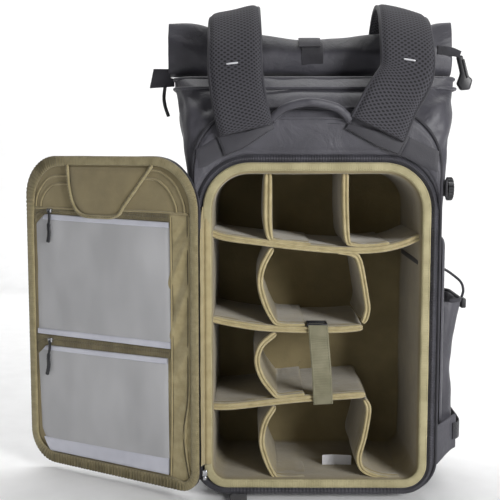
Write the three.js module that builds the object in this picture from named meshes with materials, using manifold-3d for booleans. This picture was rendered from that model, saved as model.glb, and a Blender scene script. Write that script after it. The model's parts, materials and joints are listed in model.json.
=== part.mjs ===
// Camera backpack standing upright with its back door swung open.
// Millimetres, Z up. X runs across the bag and the harness side faces -Y.

import * as THREE from "three";
import { mergeVertices } from "three/addons/utils/BufferGeometryUtils.js";
import Module from "manifold-3d";

const wasm = await Module();
wasm.setup();

const group = new THREE.Group();
group.name = "camera_backpack";

// Main sizes that several pieces share

const SEAM_GAP = 0.3;
const SHELL_CLOTH = 2;
const BACK_Y = -92;
const COLLAR_TOP_Z = 489;
const RING_WIDTH = 8;
const BINDING_WIDTH = 10.5;
const BACK_FACE = { half: 138, low: 3, high: 398, lowRadius: 36, highRadius: 62 };
const LINER_INNER = { half: 121.5, low: 17.5, high: 379.5, lowRadius: 20, highRadius: 44 };
const LINER_PAD = 5;
const LINER_BACK_Y = 57;
const DIVIDER_FRONT_Y = -86;
const SHELF_PAD = 8;
const WEBBING = 1.6;

// Materials

function cloth(name, color, roughness) {
  const material = new THREE.MeshStandardMaterial({ color, roughness, metalness: 0 });
  material.name = name;
  return material;
}

const SHELL_NYLON = ["shell_nylon", 0x55545c, 0.62];
const DARK_TAPE = ["dark_tape", 0x2b2a31, 0.7];
const WEB_BLACK = ["black_webbing", 0x2c2b2f, 0.75];
const AIR_MESH = ["air_mesh", 0x38373c, 0.9];
const KHAKI = ["khaki_lining", 0x978a68, 0.8];
const LIGHT_BINDING = ["light_binding", 0xb8b084, 0.75];
const OLIVE_TAPE = ["olive_tape", 0x756a4a, 0.8];
const POCKET_FILM = ["pocket_film", 0xbfc0c6, 0.4];
const GREY_WEBBING = ["grey_green_webbing", 0x8b8872, 0.75];
const BLACK_PLASTIC = ["black_plastic", 0x1d1d20, 0.45];
const ZIP_METAL = ["zip_metal", 0xb9bbc0, 0.3];
const WHITE_LABEL = ["white_label", 0xd9d8dc, 0.7];

function addPart(name, geometry, [slot, color, roughness]) {
  const mesh = new THREE.Mesh(geometry, cloth(slot, color, roughness));
  if (slot === "zip_metal") mesh.material.metalness = 1;
  mesh.name = name;
  group.add(mesh);
}

// Shape tools

const X_AXIS = new THREE.Vector3(1, 0, 0);
const Z_AXIS = new THREE.Vector3(0, 0, 1);
const toDepth = new THREE.Matrix4().makeBasis(X_AXIS, Z_AXIS, new THREE.Vector3(0, -1, 0));

// Faces that close a flat ring, seen from the side its normal points to
function capFaces(ring) {
  const normal = new THREE.Vector3();
  ring.forEach((point, i) => normal.add(point.clone().cross(ring[(i + 1) % ring.length])));
  normal.normalize();
  const seed = Math.abs(normal.z) < 0.9 ? Z_AXIS : X_AXIS;
  const across = seed.clone().cross(normal).normalize();
  const up = normal.clone().cross(across);
  const flat = ring.map((point) => new THREE.Vector2(point.dot(across), point.dot(up)));
  return THREE.ShapeUtils.triangulateShape(flat, []);
}

// Closed body through rings that all have the same number of points
function skin(rings, closed = false) {
  const count = rings[0].length;
  const points = rings.flat();
  const faces = [];
  const spans = closed ? rings.length : rings.length - 1;
  for (let r = 0; r < spans; r += 1) {
    const here = r * count;
    const next = ((r + 1) % rings.length) * count;
    for (let i = 0; i < count; i += 1) {
      const j = (i + 1) % count;
      faces.push([here + i, here + j, next + j], [here + i, next + j, next + i]);
    }
  }
  if (!closed) {
    const last = (rings.length - 1) * count;
    capFaces(rings[0]).forEach(([a, b, c]) => faces.push([a, c, b]));
    capFaces(rings[rings.length - 1]).forEach(([a, b, c]) => faces.push([last + a, last + b, last + c]));
  }
  let volume = 0;
  faces.forEach(([a, b, c]) => {
    volume += points[a].dot(points[b].clone().cross(points[c]));
  });
  const order = volume > 0 ? faces : faces.map(([a, b, c]) => [a, c, b]);
  const geometry = new THREE.BufferGeometry().setFromPoints(points);
  geometry.setIndex(order.flat());
  return geometry;
}

function toSolid(geometry) {
  const bare = geometry.clone();
  bare.deleteAttribute("normal");
  bare.deleteAttribute("uv");
  const merged = mergeVertices(bare, 1e-4);
  const vertProperties = new Float32Array(merged.attributes.position.array);
  const triVerts = new Uint32Array(merged.index.array);
  return new wasm.Manifold(new wasm.Mesh({ numProp: 3, vertProperties, triVerts }));
}

function fromSolid(solid) {
  const mesh = solid.getMesh();
  const geometry = new THREE.BufferGeometry();
  geometry.setAttribute("position", new THREE.BufferAttribute(new Float32Array(mesh.vertProperties), 3));
  geometry.setIndex(Array.from(mesh.triVerts));
  return geometry;
}

// Flat shape given depth between two heights along the third axis of its place
function slab(shape, from, to, place) {
  const geometry = new THREE.ExtrudeGeometry(shape, { depth: to - from, bevelEnabled: false });
  geometry.translate(0, 0, from);
  geometry.applyMatrix4(place);
  return geometry;
}

// Corner points of a rounded outline, anticlockwise from the lower left corner
function outline(left, right, low, high, radii, steps = 6) {
  const corners = [
    [left, low, 1, 1],
    [right, low, -1, 1],
    [right, high, -1, -1],
    [left, high, 1, -1],
  ];
  return corners.flatMap(([x, z, inX, inZ], i) => {
    const radius = radii[i];
    const start = Math.PI + (i * Math.PI) / 2;
    const centreX = x + inX * radius;
    const centreZ = z + inZ * radius;
    const end = start + Math.PI / 2;
    const arc = new THREE.EllipseCurve(centreX, centreZ, radius, radius, start, end);
    return arc.getPoints(steps);
  });
}

function faceOutline(face, grow) {
  const low = face.lowRadius + grow;
  const high = face.highRadius + grow;
  const half = face.half + grow;
  return outline(-half, half, face.low - grow, face.high + grow, [low, low, high, high]);
}

// Soft edging of one section carried round a closed outline
function edging(points, section, place) {
  const rings = points.map((point, i) => {
    const before = points[(i + points.length - 1) % points.length];
    const after = points[(i + 1) % points.length];
    const along = after.clone().sub(before).normalize();
    const outward = new THREE.Vector2(along.y, -along.x);
    return section.map(([out, lift]) => {
      const x = point.x + outward.x * out;
      const y = point.y + outward.y * out;
      return new THREE.Vector3(x, y, lift).applyMatrix4(place);
    });
  });
  return skin(rings, true);
}

function roundSection(radius, outCentre, liftCentre, count = 8) {
  return Array.from({ length: count }, (_, i) => {
    const angle = (i * 2 * Math.PI) / count;
    return [outCentre + radius * Math.cos(angle), liftCentre + radius * Math.sin(angle)];
  });
}

// Padded band with rows of x, y, z, width, thickness and lean of its width above level
function band(rows, steps) {
  const path = new THREE.CatmullRomCurve3(rows.map(([x, y, z]) => new THREE.Vector3(x, y, z)));
  const sizes = new THREE.CatmullRomCurve3(rows.map((row) => new THREE.Vector3(row[3], row[4], row[5])));
  const count = (rows.length - 1) * steps;
  const rings = Array.from({ length: count + 1 }, (_, i) => {
    const t = i / count;
    const centre = path.getPoint(t);
    const size = sizes.getPoint(t);
    const along = path.getTangent(t);
    const lean = THREE.MathUtils.degToRad(size.z);
    const across = new THREE.Vector3(Math.cos(lean), 0, Math.sin(lean));
    across.addScaledVector(along, -across.dot(along)).normalize();
    const lift = along.clone().cross(across);
    const halfWidth = size.x / 2;
    const halfPad = size.y / 2;
    const cut = Math.min(halfPad * 0.7, 3);
    const corners = [
      [halfWidth, halfPad - cut],
      [halfWidth - cut, halfPad],
      [cut - halfWidth, halfPad],
      [-halfWidth, halfPad - cut],
      [-halfWidth, cut - halfPad],
      [cut - halfWidth, -halfPad],
      [halfWidth - cut, -halfPad],
      [halfWidth, cut - halfPad],
    ];
    return corners.map(([a, b]) => centre.clone().addScaledVector(across, a).addScaledVector(lift, b));
  });
  return skin(rings);
}

// Padded sheet seen end on, with rows of x, z and thickness along its middle line
function padShape(rows, steps = 3) {
  const curve = new THREE.CatmullRomCurve3(rows.map(([x, z, pad]) => new THREE.Vector3(x, z, pad)));
  const count = (rows.length - 1) * steps;
  const left = [];
  const right = [];
  for (let i = 0; i <= count; i += 1) {
    const point = curve.getPoint(i / count);
    const along = curve.getTangent(i / count);
    const side = new THREE.Vector2(-along.y, along.x).normalize().multiplyScalar(point.z / 2);
    left.push(new THREE.Vector2(point.x + side.x, point.y + side.y));
    right.push(new THREE.Vector2(point.x - side.x, point.y - side.y));
  }
  return new THREE.Shape(left.concat(right.reverse()));
}

function boxBetween([x0, x1], [y0, y1], [z0, z1]) {
  const geometry = new THREE.BoxGeometry(x1 - x0, y1 - y0, z1 - z0);
  geometry.translate((x0 + x1) / 2, (y0 + y1) / 2, (z0 + z1) / 2);
  return geometry;
}

// Outer shell: a hollow cloth body that widens towards the rolled collar

const SHELL_ROWS = [
  // z, half width, back y, front y, back corner, front corner, side bulge
  [0, 104, -84, 74, 14, 30, 0],
  [3, 116, -89, 80, 14, 34, 0],
  [9, 127, BACK_Y, 86, 12, 38, 0],
  [18, 135, BACK_Y, 90, 10, 40, 1],
  [34, 141, BACK_Y, 93, 10, 42, 1],
  [90, 143, BACK_Y, 95, 10, 44, 2],
  [200, 143, BACK_Y, 96, 10, 44, 3],
  [320, 143, BACK_Y, 94, 10, 42, 3],
  [380, 147, BACK_Y, 90, 14, 40, 3],
  [415, 153, -91.5, 84, 22, 38, 3],
  [440, 157, -90, 76, 30, 36, 3],
  [458, 160, -80, 66, 32, 34, 2],
  [475, 164, -64, 52, 28, 30, 1],
  [COLLAR_TOP_Z, 166, -42, 38, 22, 24, 0],
];

function shellRing([z, half, back, front, backRadius, frontRadius, bulge], inset) {
  const wide = half - inset;
  const yBack = back + inset;
  const yFront = front - inset;
  const nearRadius = backRadius - inset;
  const farRadius = frontRadius - inset;
  const corners = outline(-wide, wide, yBack, yFront, [nearRadius, nearRadius, farRadius, farRadius], 4);
  const middle = (yBack + yFront) / 2;
  const quarters = [1.5 * nearRadius + yBack, middle, yFront - 1.5 * farRadius];
  const flank = quarters.map((y) => new THREE.Vector2(wide + bulge, y));
  const otherFlank = quarters.map((y) => new THREE.Vector2(-wide - bulge, y)).reverse();
  const points = [...corners.slice(0, 10), ...flank, ...corners.slice(10, 20), ...otherFlank];
  return points.map((point) => new THREE.Vector3(point.x, point.y, z));
}

function innerShellRow([z, ...sizes], i) {
  const atBottom = i === 0;
  const atTop = i === SHELL_ROWS.length - 1;
  const shift = (atBottom ? SHELL_CLOTH : 0) - (atTop ? SHELL_CLOTH : 0);
  return [z + shift, ...sizes];
}

const shellOuter = toSolid(skin(SHELL_ROWS.map((row) => shellRing(row, 0))));
const shellClearance = toSolid(skin(SHELL_ROWS.map((row) => shellRing(row, -SEAM_GAP))));
const shellInner = toSolid(skin(SHELL_ROWS.map((row, i) => shellRing(innerShellRow(row, i), SHELL_CLOTH))));
const SHELL_CUT = faceOutline(BACK_FACE, -RING_WIDTH - 1.5);
const shellDoorway = toSolid(slab(new THREE.Shape(SHELL_CUT), 80, 110, toDepth));
addPart("outer_shell", fromSolid(shellOuter.subtract(shellInner).subtract(shellDoorway)), SHELL_NYLON);

// Back face: zip track, light binding round the opening, piping and yoke

const TRACK_BACK = -BACK_Y + SEAM_GAP;
const TRACK_PAD = 3.6;
const trackShape = new THREE.Shape(faceOutline(BACK_FACE, 0));
trackShape.holes.push(new THREE.Path(faceOutline(BACK_FACE, -RING_WIDTH)));
addPart("zip_track", slab(trackShape, TRACK_BACK, TRACK_BACK + TRACK_PAD, toDepth), DARK_TAPE);

const BINDING_PAD = 5;
const bindingLift = TRACK_BACK + BINDING_PAD;
const BINDING_SECTION = [
  [0, TRACK_BACK],
  [0, bindingLift - 2],
  [-2, bindingLift],
  [2 - BINDING_WIDTH, bindingLift],
  [-BINDING_WIDTH, bindingLift - 2],
  [-BINDING_WIDTH, TRACK_BACK],
];
const bindingPath = faceOutline(BACK_FACE, -RING_WIDTH - SEAM_GAP);
addPart("opening_binding", edging(bindingPath, BINDING_SECTION, toDepth), LIGHT_BINDING);

const PIPING_RADIUS = 1.9;
const YOKE_TOP_Z = 448;
const YOKE_RADIUS = 64;
const YOKE_LEG_Z = 362;
const pipingOut = SEAM_GAP + PIPING_RADIUS;
const ARCH_RADII = [BACK_FACE.lowRadius, BACK_FACE.lowRadius, YOKE_RADIUS, YOKE_RADIUS];
const ARCH_STEPS = 7;
const ARCH = outline(-BACK_FACE.half, BACK_FACE.half, BACK_FACE.low, YOKE_TOP_Z, ARCH_RADII, ARCH_STEPS);
const PIPING_LIFT = TRACK_BACK + PIPING_RADIUS - 0.6;
const pipingLoop = edging(ARCH, roundSection(PIPING_RADIUS, pipingOut, PIPING_LIFT, 6), toDepth);
const pipingBody = toSolid(pipingLoop).subtract(shellClearance);
const PIPING_LOW_Z = 4;
const aboveFloor = toSolid(boxBetween([-200, 200], [-120, 0], [PIPING_LOW_Z, 500]));
addPart("body_piping", fromSolid(pipingBody.intersect(aboveFloor)), DARK_TAPE);

const YOKE_PAD = 5;
const yokeRadii = [0.5, 0.5, YOKE_RADIUS, YOKE_RADIUS];
const yokeOutline = outline(-BACK_FACE.half, BACK_FACE.half, YOKE_LEG_Z, YOKE_TOP_Z, yokeRadii, ARCH_STEPS);
const yokeBlock = toSolid(slab(new THREE.Shape(yokeOutline), TRACK_BACK, TRACK_BACK + YOKE_PAD, toDepth));
const yokeRelief = toSolid(slab(new THREE.Shape(faceOutline(BACK_FACE, SEAM_GAP)), 80, 110, toDepth));
addPart("yoke_panel", fromSolid(yokeBlock.subtract(yokeRelief)), SHELL_NYLON);

// Camera liner: a padded box that is open towards the back door

function linerOutline(grow) {
  return new THREE.Shape(faceOutline(LINER_INNER, grow));
}

const linerFront = -BACK_Y - SEAM_GAP;
const linerOuter = toSolid(slab(linerOutline(LINER_PAD), -LINER_BACK_Y - LINER_PAD, linerFront, toDepth));
const linerInner = toSolid(slab(linerOutline(0), -LINER_BACK_Y, linerFront + 5, toDepth));
addPart("camera_liner", fromSolid(linerOuter.subtract(linerInner)), KHAKI);

// Shelves and dividers, each cut to its neighbours with a seam gap

const linerWallX = LINER_INNER.half - SEAM_GAP;
const SHELF_UPPER_ROWS = [
  // x, z, thickness
  [-linerWallX, 309, SHELF_PAD],
  [-104, 303.5, SHELF_PAD],
  [-64, 298, SHELF_PAD],
  [-18, 292.5, SHELF_PAD],
  [27, 289, SHELF_PAD],
  [67, 289.5, SHELF_PAD],
  [96, 295, SHELF_PAD],
  [linerWallX, 305, SHELF_PAD],
];
const SHELF_MIDDLE_ROWS = [
  [-linerWallX, 209, SHELF_PAD],
  [-98, 204, SHELF_PAD],
  [-62, 198.5, SHELF_PAD],
  [-18, 196.5, SHELF_PAD],
  [26, 196.5, SHELF_PAD],
  [55, 199, SHELF_PAD],
];
const SHELF_LOWER_ROWS = [
  [-linerWallX, 105, SHELF_PAD],
  [-98, 105, SHELF_PAD],
  [-62, 109, SHELF_PAD],
  [-18, 114, SHELF_PAD],
  [26, 117, SHELF_PAD],
  [59, 119.5, SHELF_PAD],
];
const dividerDeep = -LINER_BACK_Y + SEAM_GAP;

function padSolid(rows, front = DIVIDER_FRONT_Y, grow = 0) {
  const grown = rows.map(([x, z, pad]) => [x, z, pad + 2 * grow]);
  return toSolid(slab(padShape(grown), dividerDeep - grow, -front + grow, toDepth));
}

const shelves = {
  shelf_upper: SHELF_UPPER_ROWS,
  shelf_middle: SHELF_MIDDLE_ROWS,
  shelf_lower: SHELF_LOWER_ROWS,
};
const linerRoom = toSolid(slab(linerOutline(-SEAM_GAP), -100, 100, toDepth));
Object.entries(shelves).forEach(([name, rows]) => {
  addPart(name, fromSolid(padSolid(rows).intersect(linerRoom)), KHAKI);
});

// Dividers stand between the shelves, in rows of x, z and thickness from the top to the foot flap's end
const DIVIDERS = {
  divider_upper_left: [
    [-55, 380, 9],
    [-55.5, 350, 10],
    [-55.5, 322, 10],
    [-53, 304, 8],
    [-48, 299.8, 4],
    [-30, 298.2, 3],
    [-6, 295.6, 3],
  ],
  divider_upper_right: [
    [33, 380, 8],
    [33, 350, 8],
    [34, 322, 8],
    [36, 300, 7],
    [42, 294.8, 4],
    [64, 294.2, 3],
    [84, 297, 3],
  ],
  divider_middle_left: [
    [-50, 292, 7],
    [-61, 270, 7],
    [-64, 249, 7],
    [-58, 226, 7],
    [-49, 208, 6],
    [-42, 202.6, 4],
    [-26, 202, 3],
    [-12, 202, 3],
  ],
  divider_middle_right: [
    [24, 287, 4],
    [42, 285, 7],
    [50, 276, 7],
    [56, 248, 7],
    [58, 236, 7],
    [60, 221, 7],
    [57, 207, 7],
    [52, 200, 5],
  ],
  divider_lower_left: [
    [-46, 193, 7],
    [-62, 178, 7],
    [-67.5, 160, 7],
    [-62, 140, 7],
    [-49, 122, 6],
    [-42, 116.5, 4],
    [-26, 118.4, 3],
    [-12, 119.8, 3],
  ],
  divider_bottom_left: [
    [-47, 106, 7],
    [-58, 86, 7],
    [-62, 63, 7],
    [-57, 42, 7],
    [-48, 22, 6],
    [-41, 19, 4],
    [-26, 18.9, 3],
    [-10, 18.9, 3],
  ],
  divider_bottom_right: [
    [57, 115, 6],
    [62.5, 104, 7],
    [61, 86, 7],
    [57, 65, 7],
    [52, 44, 7],
    [56, 30, 6],
    [70, 22, 5],
    [88, 19, 3],
    [101, 18.9, 3],
  ],
};
const grownShelves = Object.values(shelves).map((rows) => padSolid(rows, DIVIDER_FRONT_Y - 4, SEAM_GAP));
Object.entries(DIVIDERS).forEach(([name, rows]) => {
  const cut = grownShelves.reduce((solid, shelf) => solid.subtract(shelf), padSolid(rows).intersect(linerRoom));
  addPart(name, fromSolid(cut), KHAKI);
});

// Retention webbing from the middle shelf down over the lower one

const RETENTION_WIDTH = 23;
const retentionFace = DIVIDER_FRONT_Y - SEAM_GAP - WEBBING / 2;
const RETENTION_ROWS = [
  // x, y, z, width, thickness, lean
  [3, DIVIDER_FRONT_Y + 14, 202, RETENTION_WIDTH, WEBBING, 0],
  [3, DIVIDER_FRONT_Y + 3, 202.2, RETENTION_WIDTH, WEBBING, 0],
  [3, DIVIDER_FRONT_Y - 0.9, 201.8, RETENTION_WIDTH, WEBBING, 0],
  [3, retentionFace - 0.6, 199.6, RETENTION_WIDTH, WEBBING, 0],
  [4, retentionFace - 1.5, 185, RETENTION_WIDTH, WEBBING, 0],
  [7, retentionFace - 2.5, 150, RETENTION_WIDTH, WEBBING, 0],
  [9, retentionFace - 0.5, 118, RETENTION_WIDTH, WEBBING, 1],
  [9.5, retentionFace, 109, RETENTION_WIDTH, WEBBING, 1],
];
addPart("retention_strap", band(RETENTION_ROWS, 2), GREY_WEBBING);
const keeperY = [DIVIDER_FRONT_Y + 14.5, DIVIDER_FRONT_Y + 30];
addPart("retention_keeper", boxBetween([-10, 12], keeperY, [201.1, 204.6]), BLACK_PLASTIC);
addPart("care_label", boxBetween([12, 48], [-40.6, -40], [17.9, 33]), WHITE_LABEL);

const WALL_POCKET = { low: 30, high: 277, back: 50, front: -80, pad: 1.4 };
const wallPocketX = [linerWallX - WALL_POCKET.pad, linerWallX];
const wallPocketY = [WALL_POCKET.front, WALL_POCKET.back];
const wallPocket = boxBetween(wallPocketX, wallPocketY, [WALL_POCKET.low, WALL_POCKET.high]);
addPart("inner_side_pocket", fromSolid(toSolid(wallPocket).intersect(linerRoom)), KHAKI);

// Rolled collar: one cloth wound twice round an empty core, taller towards its ends

const ROLL = {
  bottom: COLLAR_TOP_Z + SEAM_GAP,
  halfDepth: 27,
  halfHeight: 23,
  cloth: 3,
  turns: 2,
  shrink: 0.22,
  steps: 14,
};
const ROLL_ROWS = [
  // x, height, depth share, y shift
  [-171, 66, 0.72, 0],
  [-150, 64, 0.85, 0],
  [-129, 61, 0.95, 0],
  [-119, 55, 1, 0],
  [-93, 53, 1, 0],
  [-60, 52, 1, 0],
  [-19, 46, 1, 0],
  [15, 46, 1, 0],
  [64, 52, 1, 0],
  [98, 53, 1, 0],
  [126, 55, 1, 0],
  [136, 61, 0.95, 0],
  [148, 63, 0.85, 0],
  [165, 65, 0.72, 0],
];

function spiralSection() {
  const count = ROLL.turns * ROLL.steps;
  const sides = [1, -1].map((side) => Array.from({ length: count + 1 }, (_, i) => {
    const turn = i / ROLL.steps;
    const angle = turn * 2 * Math.PI - Math.PI / 2;
    const scale = 1 - ROLL.shrink * turn;
    const offset = ((side - 1) * ROLL.cloth) / 2;
    const y = (ROLL.halfDepth * scale + offset) * Math.cos(angle);
    const z = (ROLL.halfHeight * scale + offset) * Math.sin(angle);
    return new THREE.Vector2(y, z);
  }));
  return sides[0].concat(sides[1].reverse());
}

const rollRings = ROLL_ROWS.map(([x, height, depthShare, shift]) => spiralSection().map((point) => {
  const z = ROLL.bottom + ((point.y / ROLL.halfHeight + 1) / 2) * height;
  return new THREE.Vector3(x, shift - point.x * depthShare, z);
}));
addPart("roll_top", skin(rollRings), SHELL_NYLON);

const ROLL_STRAP_WIDTH = 26;
const WEB_LIFT = SEAM_GAP + WEBBING / 2;

// Row of a strap that lies round the middle of the roll at a share of a turn
function onRoll(turn, lift, x, width) {
  const angle = turn * 2 * Math.PI - Math.PI / 2;
  const scale = 1 - ROLL.shrink * turn;
  const y = -(ROLL.halfDepth * scale + lift) * Math.cos(angle);
  const z = ROLL.bottom + ROLL.halfHeight + (ROLL.halfHeight * scale + lift) * Math.sin(angle);
  return [x, y, z, width, WEBBING, 0];
}
const STRAP_TURNS = [0.1, 0.16, 0.22, 0.28, 0.36, 0.44, 0.52, 0.6, 0.68, 0.75];
const ROLL_STRAP_ROWS = [
  ...STRAP_TURNS.map((turn) => onRoll(turn, WEB_LIFT + 0.4, -2, ROLL_STRAP_WIDTH)),
  [-2, 34, 497, ROLL_STRAP_WIDTH, WEBBING, 0],
  [-2, 54.8, 474, ROLL_STRAP_WIDTH, WEBBING, 0],
  [-2, 68.6, 457.5, ROLL_STRAP_WIDTH, WEBBING, 0],
  [-2, 77.7, 440, ROLL_STRAP_WIDTH, WEBBING, 0],
  [-2, 85.6, 415, ROLL_STRAP_WIDTH, WEBBING, 0],
  [-2, 91.4, 380, ROLL_STRAP_WIDTH, WEBBING, 0],
  [-2, 95.3, 318, ROLL_STRAP_WIDTH, WEBBING, 0],
];
addPart("roll_strap", band(ROLL_STRAP_ROWS, 2), WEB_BLACK);

const loopLift = WEB_LIFT + 3 * SEAM_GAP + WEBBING;
const ROLL_LOOP_ROWS = [0.34, 0.39, 0.44, 0.5].map((turn) => onRoll(turn, loopLift, -5, 24));
addPart("roll_strap_loop", band(ROLL_LOOP_ROWS, 3), WEB_BLACK);

// Shoulder straps: thrown up over the roll and hanging down the far side

const STRAP_WIDTH = 60;
const STRAP_PAD = 11;
const LEFT_STRAP_ROWS = [
  [-80, -104, 425, STRAP_WIDTH, STRAP_PAD, 10],
  [-87, -104, 455, STRAP_WIDTH, STRAP_PAD, 6],
  [-92, -96, 490, STRAP_WIDTH, STRAP_PAD, 4],
  [-93, -75, 526, STRAP_WIDTH, STRAP_PAD, 6],
  [-94, -44, 549, STRAP_WIDTH, STRAP_PAD, 9],
  [-94, -6, 557.5, STRAP_WIDTH, STRAP_PAD, 10],
  [-94, 30, 544, STRAP_WIDTH, STRAP_PAD, 8],
  [-95, 56, 508, STRAP_WIDTH, STRAP_PAD, 4],
  [-96, 80, 450, STRAP_WIDTH, STRAP_PAD, 2],
  [-97, 96, 390, STRAP_WIDTH - 6, STRAP_PAD, 0],
  [-98, 101, 330, STRAP_WIDTH - 16, STRAP_PAD, 0],
];
const RIGHT_STRAP_ROWS = [
  [66, -104, 426, STRAP_WIDTH + 6, STRAP_PAD, -10],
  [81, -104, 458, STRAP_WIDTH + 2, STRAP_PAD, -6],
  [99, -96, 490, STRAP_WIDTH, STRAP_PAD, -4],
  [101, -75, 526, STRAP_WIDTH, STRAP_PAD, -8],
  [102, -44, 549, STRAP_WIDTH, STRAP_PAD, -11],
  [102, -6, 558.5, STRAP_WIDTH, STRAP_PAD, -13],
  [102, 30, 544, STRAP_WIDTH, STRAP_PAD, -9],
  [101, 56, 508, STRAP_WIDTH, STRAP_PAD, -4],
  [100, 80, 450, STRAP_WIDTH, STRAP_PAD, -2],
  [99, 96, 390, STRAP_WIDTH - 6, STRAP_PAD, 0],
  [98, 101, 330, STRAP_WIDTH - 16, STRAP_PAD, 0],
];
addPart("shoulder_strap_left", band(LEFT_STRAP_ROWS, 3), AIR_MESH);
addPart("shoulder_strap_right", band(RIGHT_STRAP_ROWS, 3), AIR_MESH);

const WEDGE_BACK = TRACK_BACK + YOKE_PAD + SEAM_GAP;
const WEDGE_PAD = 4.5;
const LEFT_WEDGE = [[-113, 419], [-104, 396], [-82, 405], [-48, 428], [-51, 434], [-82, 428]];
const RIGHT_WEDGE = [[30, 427], [66, 407], [92, 397], [103, 419], [72, 428], [34, 433]];
function wedge(corners) {
  const shape = new THREE.Shape(corners.map(([x, z]) => new THREE.Vector2(x, z)));
  return toSolid(slab(shape, WEDGE_BACK, WEDGE_BACK + WEDGE_PAD, toDepth));
}
function clearOf(solid, rows) {
  const gap = 2 * SEAM_GAP;
  const grown = rows.map(([x, y, z, width, pad, lean]) => [x, y, z, width + gap, pad + gap, lean]);
  const first = grown[0];
  const start = [first[0], first[1], first[2] - 0.4, ...first.slice(3)];
  return solid.subtract(toSolid(band([start, ...grown.slice(1)], 3)));
}
addPart("strap_base_left", fromSolid(clearOf(wedge(LEFT_WEDGE), LEFT_STRAP_ROWS)), SHELL_NYLON);
addPart("strap_base_right", fromSolid(clearOf(wedge(RIGHT_WEDGE), RIGHT_STRAP_ROWS)), SHELL_NYLON);

const HANDLE_ROWS = [
  [-51, -100.7, 437, 11, 5, 4],
  [-46, -104, 443, 11, 6, 4],
  [-34, -109, 451, 9, 8, 10],
  [-9, -114, 456, 9, 8, 0],
  [18, -109, 451, 9, 8, -10],
  [30, -104, 443, 11, 6, -4],
  [36, -100.7, 437, 11, 5, -4],
];
const handleBand = toSolid(band(HANDLE_ROWS, 4));
addPart("grab_handle", fromSolid(clearOf(clearOf(handleBand, LEFT_STRAP_ROWS), RIGHT_STRAP_ROWS)), SHELL_NYLON);

// Lower straps: a sewn wing at each side, webbing round the flank and up the far face

function mirrored(rows, sign) {
  return rows.map(([x, y, z, width, pad, lean]) => [sign * x, y, z, width, pad, sign * lean]);
}
const LOWER_WEB_WIDTH = 20;
const flankOut = { left: 146.4, right: 176 };
const wingReach = { left: 4, right: 26 };
const WEB_START = {
  // x, y on the outside of the wing
  left: [[146.1, -74.2], [147.6, -66.2], [147.5, -50]],
  right: [[163.8, -71.3], [169.7, -66.6], [174.5, -55]],
};
function lowerWebRows(side) {
  const out = flankOut[side];
  return [
    ...WEB_START[side].map(([x, y]) => [x, y, 72, LOWER_WEB_WIDTH, WEBBING, 90]),
    [out, -30, 72, LOWER_WEB_WIDTH, WEBBING, 90],
    [out, 30, 72, LOWER_WEB_WIDTH, WEBBING, 90],
    [Math.max(out - 6, 143.4), 66, 78, LOWER_WEB_WIDTH, WEBBING, 86],
    [132, 93, 104, LOWER_WEB_WIDTH, WEBBING, 62],
    [108, 99, 160, LOWER_WEB_WIDTH, WEBBING, 25],
    [99, 98.5, 230, LOWER_WEB_WIDTH, WEBBING, 4],
    [98, 99.5, 305.6, LOWER_WEB_WIDTH, WEBBING, 0],
  ];
}
const WING_ROWS = [
  // share of the reach, low z, high z, y
  [0, 36, 84, -87],
  [0.35, 43, 87, -80],
  [0.75, 49, 91, -71],
  [1, 51, 93, -66],
];
function wing(sign, reach) {
  const rootX = 142.5;
  const rings = WING_ROWS.map(([share, low, high, y]) => {
    const x = rootX + reach * share;
    return [
      new THREE.Vector3(sign * x, y, low),
      new THREE.Vector3(sign * x, y, high),
      new THREE.Vector3(sign * (x - 1.5), y + 2.4, high),
      new THREE.Vector3(sign * (x - 1.5), y + 2.4, low),
    ];
  });
  return toSolid(skin(rings));
}
[["left", -1], ["right", 1]].forEach(([side, sign]) => {
  const rows = mirrored(lowerWebRows(side), sign);
  const wingBody = wing(sign, wingReach[side]).subtract(shellClearance);
  addPart(`lower_webbing_${side}`, fromSolid(clearOf(toSolid(band(rows, 3)), LEFT_STRAP_ROWS)), WEB_BLACK);
  addPart(`strap_wing_${side}`, fromSolid(wingBody), SHELL_NYLON);
  const adjusterX = sign < 0 ? [-115, -81] : [81, 115];
  addPart(`strap_adjuster_${side}`, boxBetween(adjusterX, [97.5, 101.5], [306, 329.2]), BLACK_PLASTIC);
});

// Left side of the collar: webbing tab with a cord pull

// Corners in x, z; the step clears the end of the roll
const LEFT_TAB = [[-197, 477], [-167, 479], [-167, 488.4], [-171.5, 489.4], [-171.5, 500], [-192, 500]];
const leftTab = new THREE.Shape(LEFT_TAB.map(([x, z]) => new THREE.Vector2(x, z)));
addPart("side_tab_left", slab(leftTab, 9, 11.4, toDepth), WEB_BLACK);
const LEFT_PULL_ROWS = [
  [-178, -13.5, 479, 5, 3.4, 0],
  [-179.5, -14, 466, 5, 3.4, 0],
  [-178, -14, 455, 5, 3.4, 0],
  [-174, -14, 443, 5, 3.4, 0],
];
addPart("side_pull_left", band(LEFT_PULL_ROWS, 3), BLACK_PLASTIC);

// Right side of the collar: webbing stub and the closed side release buckle

const SIDE_WEB_ROWS = [
  [146, -23.3, 521, 10, WEBBING, 84],
  [156, -21.6, 520.5, 10, WEBBING, 84],
  [165, -19.7, 519, 10, WEBBING, 80],
  [174, -20, 516, 8, WEBBING, 70],
];
addPart("side_webbing_right", band(SIDE_WEB_ROWS, 2), WEB_BLACK);
const SIDE_BUCKLE = [
  [170, 514],
  [177, 516],
  [184, 492],
  [190, 487],
  [187, 475],
  [176, 474],
  [171, 482],
  [175, 494],
];
const sideBuckleShape = new THREE.Shape(SIDE_BUCKLE.map(([x, z]) => new THREE.Vector2(x, z)));
addPart("side_buckle_right", slab(sideBuckleShape, 11, 18.9, toDepth), BLACK_PLASTIC);

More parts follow.
